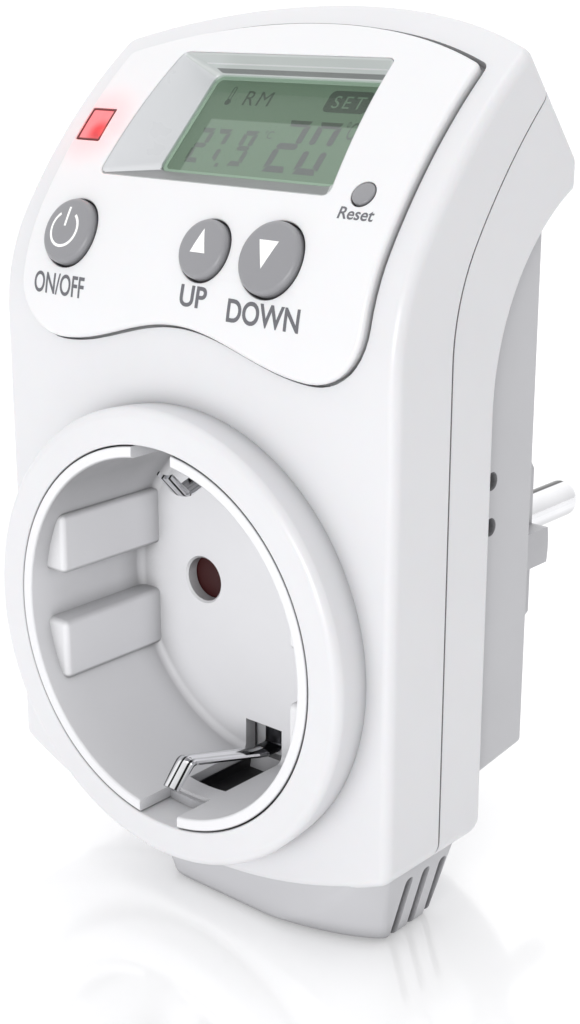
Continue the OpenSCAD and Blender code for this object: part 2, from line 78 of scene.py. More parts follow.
def place(x, y, z):
    return ORIGIN + Vector((x, y, z)) / 1000


def lean(s):
    """The face's lean at s, in radians."""
    if s < 0:
        return 0.0
    if s < BEND_LEN:
        return s / BEND_R
    return math.radians(BEND_ANGLE) + (s - BEND_LEN) / SLOPE_R


def face_up(s):
    """The direction up the face at s."""
    return Vector((0, math.sin(lean(s)), math.cos(lean(s))))


def face(s, inset=0.0):
    """A point [y, z] of the face's side view."""
    if s < 0:
        return FACE_Y + inset, BEND_Z + s
    a, bend = lean(s), math.radians(BEND_ANGLE)
    if s < BEND_LEN:
        return FACE_Y + BEND_R - (BEND_R - inset) * math.cos(a), BEND_Z + (BEND_R - inset) * math.sin(a)
    cy = FACE_Y + BEND_R + (SLOPE_R - BEND_R) * math.cos(bend)
    cz = BEND_Z - (SLOPE_R - BEND_R) * math.sin(bend)
    return cy - (SLOPE_R - inset) * math.cos(a), cz + (SLOPE_R - inset) * math.sin(a)


def on_face(x, s, h=0.0):
    """A point over the face at (x, s), h outwards."""
    y, z = face(s, -h)
    return place(x, y, z)


def face_frame(x, s):
    """Maps local (across, up the face, outwards) at (x, s) to the frame."""
    y, z = face(s)
    a = lean(s)

    def to_frame(u, v, w=0.0):
        return place(x + u, y + v * math.sin(a) - w * math.cos(a), z + v * math.cos(a) + w * math.sin(a))

    return to_frame


# ---------------- mesh helpers


def linked(name, data):
    obj = bpy.data.objects.new(name, data)
    bpy.context.scene.collection.objects.link(obj)
    return obj


def scratch(name, bm):
    """A mesh object, to cut with or to finish later."""
    bmesh.ops.remove_doubles(bm, verts=bm.verts, dist=1e-7)
    bmesh.ops.recalc_face_normals(bm, faces=bm.faces)
    mesh = bpy.data.meshes.new(name)
    bm.to_mesh(mesh)
    bm.free()
    return linked(name, mesh)


def make(name, bm, body="housing", material=None, sharp=32, replaces=(), weighted=True):
    """Turns a bmesh into a piece of the object."""
    bmesh.ops.remove_doubles(bm, verts=bm.verts, dist=1e-7)
    bmesh.ops.dissolve_degenerate(bm, edges=bm.edges, dist=1e-8)
    obj = scratch(name, bm)
    finish_piece(obj, body, material, sharp, replaces, weighted)
    return obj


def finish_piece(obj, body="housing", material=None, sharp=32, replaces=(), weighted=True):
    mesh = obj.data
    for p in mesh.polygons:
        p.use_smooth = True
    mesh.set_sharp_from_angle(angle=math.radians(sharp))
    if weighted:
        mod = obj.modifiers.new("weighted", "WEIGHTED_NORMAL")
        mod.keep_sharp = True
        mod.weight = 60
    if material:
        mesh.materials.clear()
        mesh.materials.append(material)
    if body:
        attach(obj, body)
    if replaces:
        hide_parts(*replaces)


def loft_into(bm, rings, cap=True):
    """Joins closed rings of equal length one after the other."""
    rows = [[bm.verts.new(p) for p in ring] for ring in rings]
    n = len(rows[0])
    for low, high in zip(rows, rows[1:]):
        for i in range(n):
            j = (i + 1) % n
            bm.faces.new((low[i], low[j], high[j], high[i]))
    if cap:
        bm.faces.new(rows[0][::-1])
        bm.faces.new(rows[-1])
    return rows


def lofted(rings, cap=True):
    bm = bmesh.new()
    loft_into(bm, rings, cap)
    return bm


def combine(obj, tools, operation="DIFFERENCE"):
    """Cuts tools out of obj, or adds them to it, and removes them."""
    for tool in tools:
        mod = obj.modifiers.new("tool", "BOOLEAN")
        mod.operation, mod.solver, mod.object = operation, "EXACT", tool
    depsgraph = bpy.context.evaluated_depsgraph_get()
    mesh, old = bpy.data.meshes.new_from_object(obj.evaluated_get(depsgraph)), obj.data
    obj.modifiers.clear()
    obj.data, mesh.name = mesh, obj.name
    bpy.data.meshes.remove(old)
    for tool in tools:
        mesh = tool.data
        bpy.data.objects.remove(tool)
        bpy.data.meshes.remove(mesh)


def bisect(bm, axis, at, dist=1e-5):
    """Splits a mesh where a plane square to an axis crosses it."""
    normal = Vector([float(k == axis) for k in range(3)])
    geometry = bm.verts[:] + bm.edges[:] + bm.faces[:]
    bmesh.ops.bisect_plane(bm, geom=geometry, dist=dist, plane_co=normal * at, plane_no=normal)


def turned(profile, frame_of, segments=96):
    """A solid of revolution. profile is [radius, height] from one end of the axis to the other."""
    bm = bmesh.new()
    rings = []
    for r, h in profile:
        if r < 1e-6:
            rings.append([bm.verts.new(frame_of(0, 0, h))])
        else:
            turns = [2 * math.pi * i / segments for i in range(segments)]
            rings.append([bm.verts.new(frame_of(r * math.cos(t), r * math.sin(t), h)) for t in turns])
    for low, high in zip(rings, rings[1:]):
        for i in range(segments):
            j = (i + 1) % segments
            if len(low) == 1:
                bm.faces.new((low[0], high[j], high[i]))
            elif len(high) == 1:
                bm.faces.new((low[i], low[j], high[0]))
            else:
                bm.faces.new((low[i], low[j], high[j], high[i]))
    return bm


def along_y(x, z):
    """A frame for turned(): the axis runs to the back through (x, z)."""
    return lambda u, v, w: place(x + u, w, z + v)


def arc(cx, cy, r, a0, a1, n):
    """Points on an arc, angles in degrees."""
    steps = [math.radians(a0 + (a1 - a0) * i / n) for i in range(n + 1)]
    return [(cx + r * math.cos(a), cy + r * math.sin(a)) for a in steps]


def resample(line, cut_start, cut_end, n):
    """n points evenly along a polyline, with its ends trimmed."""
    lengths = [0.0]
    for p, q in zip(line, line[1:]):
        lengths.append(lengths[-1] + math.dist(p, q))
    start, end = cut_start, lengths[-1] - cut_end
    points, k = [], 0
    for i in range(n):
        t = min(max(start + (end - start) * i / (n - 1), 0.0), lengths[-1])
        while k < len(line) - 2 and lengths[k + 1] < t:
            k += 1
        span = lengths[k + 1] - lengths[k]
        f = (t - lengths[k]) / span if span > 1e-12 else 0.0
        points.append(tuple(a + (b - a) * f for a, b in zip(line[k], line[k + 1])))
    return points


def corner_of(before, corner, after, r):
    """A corner to be rounded by r: how far its arc reaches along the sides, and a function for points on it."""
    c = Vector(corner)
    d1, d2 = (c - Vector(before)).normalized(), (Vector(after) - c).normalized()
    turn = math.atan2(d1.x * d2.y - d1.y * d2.x, d1.dot(d2))
    cut = abs(r * math.tan(turn / 2))
    normal = Vector((-d1.y, d1.x)) * math.copysign(1.0, turn)
    centre = c - d1 * cut + normal * r
    return cut, lambda share: tuple(centre + Matrix.Rotation(turn * share, 2) @ (-normal * r))


def rounded_loop(parts, radii, counts, arc_n=6):
    """A closed loop from polylines that meet end to end. Each meeting point is rounded by its radius."""
    corners = []
    for i, part in enumerate(parts):
        after = parts[(i + 1) % len(parts)]
        corners.append(corner_of(part[-2], part[-1], after[1], max(radii[i], 0.0)))
    points = []
    for i, part in enumerate(parts):
        cut, on_arc = corners[i]
        points += resample(part, corners[i - 1][0], cut, counts[i])
        points += [on_arc(k / arc_n) for k in range(1, arc_n)]
    return points


def rounded_polygon(corners, radii, arc_n=6, side_n=2):
    """A closed loop of straight sides between corners, each corner rounded."""
    n = len(corners)
    parts = [[corners[i], corners[(i + 1) % n]] for i in range(n)]
    shifted = [radii[(i + 1) % n] for i in range(n)]
    return rounded_loop(parts, shifted, [side_n] * n, arc_n)


def offset_loop(loop, d):
    """Moves a counter-clockwise loop outwards by d."""
    moved = []
    for i, p in enumerate(loop):
        a, b = Vector(loop[i - 1]), Vector(loop[(i + 1) % len(loop)])
        q = Vector(p)
        e1, e2 = (q - a).normalized(), (b - q).normalized()
        n1, n2 = Vector((e1.y, -e1.x)), Vector((e2.y, -e2.x))
        mid = (n1 + n2).normalized()
        moved.append(tuple(q + mid * (d / max(mid.dot(n1), 0.5))))
    return moved


def split_at_rows(loop, step):
    """Adds a point wherever the loop crosses a multiple of step in its second measure."""
    points = []
    for p, q in zip(loop, loop[1:] + loop[:1]):
        points.append(p)
        lo, hi = sorted((p[1], q[1]))
        rows = [k * step for k in range(math.ceil(lo / step - 1e-6), math.floor(hi / step + 1e-6) + 1)]
        rows = [r for r in rows if lo + 1e-4 < r < hi - 1e-4]
        if q[1] < p[1]:
            rows.reverse()
        points += [(p[0] + (q[0] - p[0]) * (r - p[1]) / (q[1] - p[1]), r) for r in rows]
    return points


def plate(outer, holes, top, bottom, outer_r, hole_r, to_frame, step=1.0, arc_n=5):
    """A plate over a curved face: flat top with rounded rims on its outline and round each hole.

    outer and holes are counter-clockwise loops of (x, s). to_frame maps (x, s, height) to the frame.
    """
    loops = [(split_at_rows(offset_loop(outer, -outer_r), step), 1, outer_r)]
    loops += [(split_at_rows(offset_loop(h, hole_r), step), -1, hole_r) for h in holes]
    flat = bmesh.new()
    edges = []
    for loop, _, _ in loops:
        verts = [flat.verts.new((p[0], p[1], 0)) for p in loop]
        edges += [flat.edges.new((a, b)) for a, b in zip(verts, verts[1:] + verts[:1])]
    bmesh.ops.triangle_fill(flat, use_beauty=True, edges=edges, normal=(0, 0, 1))
    rows = [p[1] for p in loops[0][0]]
    for k in range(math.floor(min(rows) / step), math.ceil(max(rows) / step) + 1):
        bisect(flat, 1, k * step, 1e-4)
    flat.verts.ensure_lookup_table()
    rim_at = {}
    for loop, direction, r in loops:
        outward = offset_loop(loop, 1.0)
        for p, q in zip(loop, outward):
            rim_at[(round(p[0], 3), round(p[1], 3))] = ((q[0] - p[0]) * direction, (q[1] - p[1]) * direction, r)
    bm = bmesh.new()
    upper, lower = {}, {}
    for v in flat.verts:
        key = (round(v.co.x, 3), round(v.co.y, 3))
        dx, ds, r = rim_at.get(key, (0.0, 0.0, 0.0))
        upper[v] = bm.verts.new(to_frame(v.co.x, v.co.y, top))
        lower[v] = bm.verts.new(to_frame(v.co.x + dx * r, v.co.y + ds * r, bottom))
    for f in flat.faces:
        bm.faces.new([upper[v] for v in f.verts])
        bm.faces.new([lower[v] for v in reversed(f.verts)])
    by_place = {(round(v.co.x, 3), round(v.co.y, 3)): v for v in flat.verts}
    for loop, direction, r in loops:
        keys = [(round(p[0], 3), round(p[1], 3)) for p in loop]
        rings = [[upper[by_place[k]] for k in keys]]
        for i in range(1, arc_n + 1):
            a = math.pi / 2 * i / arc_n
            ring = []
            for p, k in zip(loop, keys):
                dx, ds, _ = rim_at[k]
                w = r * math.sin(a)
                ring.append(bm.verts.new(to_frame(p[0] + dx * w, p[1] + ds * w, top - r * (1 - math.cos(a)))))
            rings.append(ring)
        rings.append([lower[by_place[k]] for k in keys])
        n = len(loop)
        for low, high in zip(rings, rings[1:]):
            for i in range(n):
                j = (i + 1) % n
                corners = (low[i], high[i], high[j], low[j])
                if len(set(corners)) == 4:
                    bm.faces.new(corners if direction > 0 else corners[::-1])
    flat.free()
    return bm


# ---------------- materials

BLACK = (0, 0, 0)


def feed(tree, node, inputs):
    """Sets a node's inputs. Each is given a value, or the output that feeds it."""
    for key, value in inputs.items():
        if isinstance(value, bpy.types.NodeSocket):
            tree.links.new(value, node.inputs[key])
        else:
            node.inputs[key].default_value = value


def add_node(tree, kind, inputs, **settings):
    node = tree.nodes.new("ShaderNode" + kind)
    for key, value in settings.items():
        setattr(node, key, value)
    feed(tree, node, inputs)
    return node.outputs


class Look:
    """A node material while it is made: a new one by its name, or an older one opened again."""

    def __init__(self, mat):
        if isinstance(mat, str):
            mat = bpy.data.materials.new(mat)
            mat.use_nodes = True
            mat.node_tree.nodes.new("ShaderNodeTexCoord")
        self.mat, self.tree = mat, mat.node_tree
        self.shader = self.tree.nodes["Principled BSDF"]
        self.coords = next(n for n in self.tree.nodes if n.bl_idname == "ShaderNodeTexCoord").outputs

    def set(self, inputs):
        feed(self.tree, self.shader, inputs)
        return self.mat

    def add(self, kind, inputs, **settings):
        return add_node(self.tree, kind, inputs, **settings)

    def math(self, operation, *values):
        return self.add("Math", dict(enumerate(values)), operation=operation)["Value"]

    def vector(self, operation, other, source="Object"):
        """The dot product of the place (or the normal) with an axis, or its distance from a point."""
        return self.add("VectorMath", {0: self.coords[source], 1: other}, operation=operation)["Value"]

    def remap(self, value, begin, full, low=0.0, high=1.0, kind="LINEAR"):
        sockets = {"From Min": begin, "From Max": full, "To Min": low, "To Max": high, "Value": value}
        return self.add("MapRange", sockets, interpolation_type=kind)["Result"]

    def noise(self, scale, detail=3.0, where=None):
        sockets = {"Scale": scale, "Detail": detail, "Roughness": 0.55, "Vector": where or self.coords["Object"]}
        return self.add("TexNoise", sockets)["Fac"]

    def spread(self, noise, low, high):
        """Maps the middle of a noise to low..high."""
        return self.remap(noise, 0.3, 0.7, low, high)

    def mix(self, share, a, b, blend="MIX"):
        a, b = (c if isinstance(c, bpy.types.NodeSocket) else (*c, 1) for c in (a, b))
        return self.add("Mix", {"Factor": share, "A": a, "B": b}, data_type="RGBA", blend_type=blend)["Result"]

    def tint(self, share, color, blend="MIX"):
        """Lays a colour over the base colour."""
        now = self.shader.inputs["Base Color"].links[0].from_socket
        return self.set({"Base Color": self.mix(share, now, color, blend)})

    def bump(self, height, strength, depth=0.00003):
        bump = self.add("Bump", {"Strength": strength, "Distance": depth, "Height": height})
        self.set({"Normal": bump["Normal"]})


def plastic(name, color, rough=0.35, vary=0.03, grain=0.04, grain_scale=9000.0, coat=0.0, subsurface=0.0, glow=0.0):
    """Moulded plastic: a faint cloud in the colour and gloss, and a fine moulded grain."""
    look = Look(name)
    deep, pale = [c * (1 - vary) for c in color], [min(c * (1 + vary), 1.0) for c in color]
    tone = look.mix(look.spread(look.noise(60.0), 0.0, 1.0), deep, pale)
    haze = look.spread(look.noise(260.0, 2.0), rough * 0.9, rough * 1.1)
    look.bump(look.noise(grain_scale, 1.0), grain)
    return look.set({
        "Base Color": tone, "Roughness": haze, "IOR": 1.46, "Coat Weight": coat, "Coat Roughness": 0.12,
        "Emission Color": tone, "Emission Strength": glow, "Subsurface Weight": subsurface,
        "Subsurface Scale": 0.0008,
    })


def paint_crevice_shade(mat, reach, darkest):
    """Paints shade into a plastic's colour in narrow gaps and in the corners where parts meet."""
    look = Look(mat)
    open_air = look.add("AmbientOcclusion", {"Distance": reach}, samples=5)["AO"]
    look.tint(1.0, look.remap(open_air, 0.15, 0.85, darkest), "MULTIPLY")


def metal(name, color, rough=0.18, brushed=0.0):
    """Metal with a slight cloud in its gloss, and drawn lines along X if brushed."""
    look = Look(name)
    cloud = look.noise(150.0)
    tone = look.mix(look.spread(cloud, 0.0, 1.0), [c * 0.93 for c in color], color)
    stretched = look.add("Mapping", {"Vector": look.coords["Object"], "Scale": (1.0, 0.06, 1.0)})["Vector"]
    look.bump(look.noise(2500.0, 2.0, stretched), 0.04 + brushed)
    return look.set({"Metallic": 1.0, "Base Color": tone, "Roughness": look.spread(cloud, rough * 0.8, rough * 1.25)})


def paint_facing_shade(mat, bands):
    """Paints soft shade into the colour by the way a surface faces. Each band is an axis, where it begins and is
    full, and its tone.
    """
    look = Look(mat)
    for axis, begin, full, tone in bands:
        look.tint(look.remap(look.vector("DOT_PRODUCT", axis, "Normal"), begin, full), (tone,) * 3, "MULTIPLY")
    return mat


def metal_with_painted_flute_shade(name, pitch):
    """Polished metal with the shade of rolled flutes painted along the strip as dark stripes, strongest at its tip.
    """
    look = Look(metal(name, (0.9, 0.9, 0.92), rough=0.08))
    across = look.add("SeparateXYZ", {"Vector": look.coords["Object"]})
    wave = look.math("SINE", look.math("MULTIPLY_ADD", across["X"], 2 * math.pi / pitch, 1.9))
    tip = look.remap(across["Y"], place(0, 5.2, 0).y, place(0, 4.4, 0).y, 0.25)
    return look.tint(look.math("MULTIPLY", look.remap(wave, 0.45, 0.8), tip), (0.03,) * 3)


def clear_window_material(name, tint):
    """Clear window: passes light straight through and mirrors by Fresnel. A noise varies its gloss."""
    look = Look(name)
    look.tree.nodes.remove(look.shader)
    clear = look.add("BsdfTransparent", {"Color": (*tint, 1)})
    mirror = look.add("BsdfGlossy", {"Roughness": look.spread(look.noise(400.0), 0.03, 0.08)})
    fresnel, side = look.add("Fresnel", {"IOR": 1.3})["Fac"], look.add("NewGeometry", {})["Backfacing"]
    front_only = look.add("Mix", {"Factor": side, "A": fresnel, "B": 0.0})["Result"]
    both = look.add("MixShader", {"Fac": front_only, 1: clear["BSDF"], 2: mirror["BSDF"]})
    feed(look.tree, look.tree.nodes["Material Output"], {"Surface": both["Shader"]})
    return look.mat


def panel_plastic(name, color, lamp):
    """The panel's plastic, with the lamp's red glow painted round it: a painted pool of light on the rim."""
    look = Look(plastic(name, color, rough=0.32, vary=0.01, grain=0.05, coat=0.15, subsurface=0.06))
    share = look.remap(look.vector("DISTANCE", lamp), 0.007, 0.0015, 0.0, 0.32, "SMOOTHERSTEP")
    return look.tint(share, (0.9, 0.3, 0.34))


WHITE, NICKEL = (0.72, 0.72, 0.74), (0.86, 0.86, 0.88)
# Each row holds the name, the colour, the roughness, how much the colour varies and the depth of the grain.
PLASTICS = {
    "insert": ("insert_plastic", (0.79, 0.79, 0.81), 0.38, 0.015, 0.06),
    "block": ("block_plastic", (0.53, 0.53, 0.55), 0.42, 0.02, 0.1),
    "foot": ("foot_plastic", (0.52, 0.52, 0.54), 0.4, 0.015, 0.08),
    "gasket": ("gasket_plastic", (0.36, 0.43, 0.37), 0.35, 0.03, 0.05),
    "key": ("key_plastic", (0.275, 0.275, 0.29), 0.36, 0.02, 0.1),
    "print": ("print_ink", (0.14, 0.14, 0.155), 0.5, 0.05, 0.05),
    "white_ink": ("white_ink", (0.95, 0.95, 0.95), 0.4, 0.01, 0.05),
    "black": ("black_plastic", (0.02, 0.02, 0.022), 0.4, 0.1, 0.15),
    "relay": ("relay_case", (0.05, 0.12, 0.34), 0.35, 0.03, 0.08),
    "film": ("film_case", (0.7, 0.5, 0.06), 0.3, 0.04, 0.08),
    "ceramic": ("ceramic_body", (0.74, 0.72, 0.66), 0.3, 0.04, 0.1),
    "shutter": ("shutter_plastic", (0.04, 0.004, 0.004), 0.4, 0.06, 0.1),
    "brown_wire": ("brown_insulation", (0.2, 0.08, 0.03), 0.45, 0.05, 0.1),
    "grey_wire": ("grey_insulation", (0.22, 0.22, 0.24), 0.45, 0.05, 0.1),
    "lamp_rim": ("lamp_rim", (0.1, 0.015, 0.015), 0.3, 0.05, 0.03),
}
M = {key: plastic(*row) for key, row in PLASTICS.items()}
M |= {
    "shell": plastic("shell_plastic", WHITE, rough=0.34, vary=0.012, grain=0.05, coat=0.15, subsurface=0.06),
    "panel": panel_plastic("panel_plastic", (0.78, 0.78, 0.795), on_face(LAMP_X, LAMP_S, PANEL_RAISE)),
    "bezel": plastic("bezel_plastic", (0.66, 0.67, 0.69), rough=0.3, vary=0.02, grain=0.03, coat=0.2),
    # Painted light and shade on the bezel: its top wall is a dark grey that glows evenly, its low wall a darker grey
    # than the rim, with a real coarse speckle.
    "bezel_top_painted_glow": plastic("bezel_top_wall", (0.18, 0.19, 0.188), rough=0.3, grain=0.03, coat=0.1, glow=2.0),
    "bezel_low_painted_shade": plastic("bezel_low_wall", (0.27, 0.275, 0.28), rough=0.45, vary=0.12, grain=0.3, grain_scale=5000.0),
    "board": plastic("board_mask", (0.03, 0.16, 0.07), rough=0.3, vary=0.12, grain=0.2, grain_scale=2500.0),
    "chrome": metal("nickel_plate", NICKEL, rough=0.09),
    "steel": metal("zinc_steel", (0.62, 0.62, 0.64), rough=0.32, brushed=0.1),
    "brass": metal("contact_brass", (0.8, 0.58, 0.26), rough=0.28, brushed=0.08),
    "pin": metal("pin_plate", NICKEL, rough=0.09),
    "clip": metal_with_painted_flute_shade("clip_plate", 0.00092),
    "painted_shadow_steel": metal("painted_shadow_steel", (0.05, 0.05, 0.055), rough=0.3),
    "window": clear_window_material("clear_window", (0.93, 0.97, 0.94)),
}
# Painted shade on the insert: walls that face down are darkened most, those that face up a little.
paint_facing_shade(M["insert"], [((0, 0, -1), 0.1, 0.75, 0.45), ((0, 0, 1), 0.3, 0.95, 0.88)])
# Painted shade on the pins: a narrow dark band where they face nearly straight up, and darker faces turned down.
paint_facing_shade(M["pin"], [((-0.087, 0, 0.996), 0.955, 0.975, 0.04), ((0, 0, -1), 0.2, 0.7, 0.5)])
# Painted shade in the gaps and corners of the plastics, reaching a few millimetres.
CREVICE_REACH, INSERT_REACH = 0.0028, 0.0042
for key, darkest in (("shell", 0.48), ("panel", 0.55), ("block", 0.4), ("foot", 0.4), ("key", 0.4)):
    paint_crevice_shade(M[key], CREVICE_REACH, darkest)
paint_crevice_shade(M["insert"], INSERT_REACH, 0.3)

NODES_OF = {
    "steel": ("case_screws", "backup_cell", "shutter_spring"),
    "foot": ("plug_body",),
    "pin": ("line_pin", "neutral_pin"),
    "chrome": ("plug_earth_strap",),
    "window": ("display_window",),
    "black": ("key_switches", "controller_chip", "storage_capacitor", "contact_carrier", "temperature_sensor"),
    "board": ("key_board", "display_board", "power_board"),
    "grey_wire": ("ribbon_cable", "sensor_lead"),
    "relay": ("relay",),
    "film": ("film_capacitor",),
    "ceramic": ("fuse",),
    "shutter": ("shutter",),
    "brass": ("line_sleeve", "neutral_sleeve", "earth_link", "neutral_link"),
    "brown_wire": ("line_wires",),
    "lamp_core": ("signal_lamp",),
}

# ---------------- the two covers


def cap_height(x, inset):
    """Where the top edge's roll cuts, measured along the cut's own direction."""
    return CAP_REACH - CAP_R + math.sqrt((CAP_R - inset) ** 2 - x * x)


def bottom_height(x, inset):
    return BOTTOM_R - BOTTOM_DROP - math.sqrt((BOTTOM_R - inset) ** 2 - x * x)


def head_end(x, inset):
    drop = CAP_R - math.sqrt(CAP_R**2 - HALF_W**2)
    return HEAD_END_Y + drop - CAP_R + math.sqrt((CAP_R - inset) ** 2 - x * x)


CAP_DIR = (math.sin(math.radians(CAP_TILT)), math.cos(math.radians(CAP_TILT)))


def face_end(x, inset, shift, line_inset):
    """The s at which the face's line, moved back by shift, meets the cut of the top edge."""
    low, high = 0.0, 70.0
    target = cap_height(x, inset)
    for _ in range(40):
        s = (low + high) / 2
        y, z = face(s, line_inset)
        if (y + shift) * CAP_DIR[0] + z * CAP_DIR[1] < target:
            low = s
        else:
            high = s
    return low


def face_line(s0, s1, shift, inset):
    n = 160
    return [(y + shift, z) for y, z in (face(s0 + (s1 - s0) * i / n, inset) for i in range(n + 1))]


def front_section(x, inset, depth, edge_r=1.3, seam_r=0.15):
    low = bottom_height(x, inset)
    crest = face_end(x, inset, 0.0, inset)
    seam_top = face_end(x, inset, depth, 0.0)
    front = face_line(low - BEND_Z, crest, 0.0, inset)
    seam = face_line(low - BEND_Z, seam_top, depth, 0.0)[::-1]
    parts = [front, [front[-1], seam[0]], seam, [seam[-1], front[0]]]
    radii = [edge_r - inset, seam_r, seam_r, edge_r - inset]
    return rounded_loop(parts, radii, [64, 4, 64, 4])


def back_curve(r, end_y, n):
    """The hollow under the head, from end_y down to the back."""
    cy = BACK_Y + BACK_BEND_R
    a0 = math.acos(max(min((cy - end_y) / r, 1.0), -1.0))
    turns = [a0 * (1 - i / n) for i in range(n + 1)]
    return [(cy - r * math.cos(a), BACK_BEND_Z + r * math.sin(a)) for a in turns]


def rear_section(x, inset, shift, edge_r=1.5, seam_r=0.25):
    low = bottom_height(x, inset)
    seam_top = face_end(x, inset, shift, 0.0)
    seam = face_line(low - BEND_Z, seam_top, shift, 0.0)
    end_y = head_end(x, inset)
    corner = (end_y, (cap_height(x, inset) - end_y * CAP_DIR[0]) / CAP_DIR[1])
    back = back_curve(BACK_BEND_R + inset, end_y, 60) + [(BACK_Y - inset, low)]
    parts = [seam, [seam[-1], corner], [corner, back[0]], back, [back[-1], seam[0]]]
    radii = [seam_r, edge_r * 0.8 - inset, edge_r * 0.7 - inset, edge_r - inset, seam_r]
    return rounded_loop(parts, radii, [60, 8, 4, 60, 6])


def stations(half, side_r, n_arc=6, n_mid=26):
    """Where sections stand across the width, with how far each is drawn in."""
    side = [
        (half - side_r * (1 - math.cos(math.pi / 2 * i / n_arc)), side_r * (1 - math.sin(math.pi / 2 * i / n_arc)))
        for i in range(n_arc + 1)
    ]
    inner = side[-1][0]
    middle = [(-inner + 2 * inner * i / n_mid, 0.0) for i in range(1, n_mid)]
    return [(-x, d) for x, d in side] + middle + side[::-1]


def cover_rings(section, half, side_r, extra_inset=0.0, **sizes):
    rings = []
    for x, d in stations(half, side_r):
        loop = section(x, d + extra_inset, **sizes)
        rings.append([place(x, y, z) for y, z in loop])
    return rings


def circle(cx, cs, r, n=72):
    return [(cx + r * math.cos(2 * math.pi * i / n), cs + r * math.sin(2 * math.pi * i / n)) for i in range(n)]


def panel_low(x):
    return WAVE_RISE * math.cos(math.pi * x / WAVE_HALF)


def panel_top(x):
    return PANEL_TOP - PANEL_TOP_R + math.sqrt(PANEL_TOP_R**2 - x * x)


def panel_loop():
    corner = PANEL_HALF - WAVE_HALF
    wave = [(x / 2, panel_low(x / 2)) for x in range(-36, 37)]
    right = arc(WAVE_HALF, corner - WAVE_RISE, corner, -90, 0, 12)[1:]
    left = arc(-WAVE_HALF, corner - WAVE_RISE, corner, 180, 270, 12)[:-1]
    top = [(x, panel_top(x)) for x in (PANEL_HALF * (1 - i / 24) for i in range(49))]
    right_side = [wave[-1]] + right + [(PANEL_HALF, 12.0), (PANEL_HALF, 20.0), top[0]]
    left_side = [top[-1], (-PANEL_HALF, 20.0), (-PANEL_HALF, 12.0)] + left + [wave[0]]
    return rounded_loop([wave, right_side, top, left_side], [0.0, 1.1, 1.1, 0.0], [72, 40, 60, 40], arc_n=5)


def clean_loop(loop, least=1e-3):
    kept = []
    for p in loop:
        if not kept or math.dist(p, kept[-1]) > least:
            kept.append(p)
    if math.dist(kept[0], kept[-1]) <= least:
        kept.pop()
    return kept


RECESS = [(-17.4, 16.7), (15.4, 16.7), (13.9, 34.3), (-15.9, 34.3)]
panel_outline = clean_loop(panel_loop())
full_recess = rounded_polygon(RECESS, [0.9, 0.9, 1.0, 1.0], side_n=18)
recess_loop = clean_loop(full_recess)


def lamp_outline(inset):
    """The lamp's opening on the face, drawn smaller by an inset all round."""
    left, right, low, high = (edge + inset * side for edge, side in zip(LAMP_EDGES, (1, -1, 1, -1)))
    return clean_loop(
        rounded_polygon([(left, low), (right, low), (right, high), (left, high)], [0.15] * 4, arc_n=3, side_n=3)
    )


lamp_loop = lamp_outline(0.0)
reset_s = DISPLAY_S + RESET_Y

front = scratch("front_shell", lofted(cover_rings(front_section, HALF_W, 1.2, depth=FRONT_DEPTH)))
cavity = scratch(
    "cavity",
    lofted(cover_rings(front_section, HALF_W - WALL, 1.0, extra_inset=WALL, depth=FRONT_DEPTH + 2, seam_r=0.0)),
)
bore = scratch("bore", turned([(0, -1), (BORE_R, -1), (BORE_R, 8), (0, 8)], along_y(0, 0), 128))


def ramp(value, begin, full):
    return min(max((value - begin) / (full - begin), 0.0), 1.0)


def face_cutter(name, outline, top, bottom):
    return scratch(name, plate(outline, [], top, bottom, 0.01, 0.0, on_face, arc_n=1))


def key_cutter(name, r, to_frame, segments):
    return scratch(name, turned([(0, -6), (r, -6), (r, 3), (0, 3)], to_frame, segments))


def reset_frame(u, v, w):
    return face_frame(RESET_X, DISPLAY_S)(u, v + RESET_Y, w)


# The groove round the panel is wider along its top edge, and widest at the left.
groove_outline = [
    (x, s + (0.5 + 0.4 * ramp(-x, -8, 8)) * ramp(s, 32.5, 34.0)) for x, s in offset_loop(panel_outline, 0.32)
]
cutters = [
    cavity, bore, face_cutter("groove", groove_outline, 3.0, -1.0),
    face_cutter("window_cut", offset_loop(recess_loop, 0.2), 2.0, -6.0),
    face_cutter("lamp_cut", offset_loop(lamp_loop, 0.2), 2.0, -6.0),
]
cutters += [key_cutter("key_cut", r + KEY_ROOM, face_frame(x, KEY_S), 48) for x, r in zip(KEY_X, KEY_R)]
cutters.append(key_cutter("reset_cut", RESET_R + KEY_ROOM, reset_frame, 32))
combine(front, cutters)
finish_piece(front, material=M["shell"], replaces=("front_cover",))

rear = scratch("rear_shell", lofted(cover_rings(rear_section, HALF_W - 0.12, 1.0, shift=FRONT_DEPTH + 0.42)))
rear_cavity = scratch(
    "rear_cavity",
    lofted(
        cover_rings(
            rear_section, HALF_W - WALL, 1.0, extra_inset=WALL, shift=FRONT_DEPTH - 2, edge_r=2.0, seam_r=0.0
        )
    ),
)
combine(rear, [rear_cavity])
finish_piece(rear, material=M["shell"], replaces=("rear_cover",))

# ---------------- keypad panel, keys and captions

holes = [circle(x, KEY_S, r + 0.12) for x, r in zip(KEY_X, KEY_R)]
holes.append(circle(RESET_X, reset_s, RESET_R + 0.1, 48))
holes += [recess_loop, lamp_loop]
panel = plate(panel_outline, holes, PANEL_RAISE, -PANEL_RAISE, 0.5, 0.14, on_face)
make("keypad_panel_face", panel, material=M["panel"], replaces=("keypad_panel",))


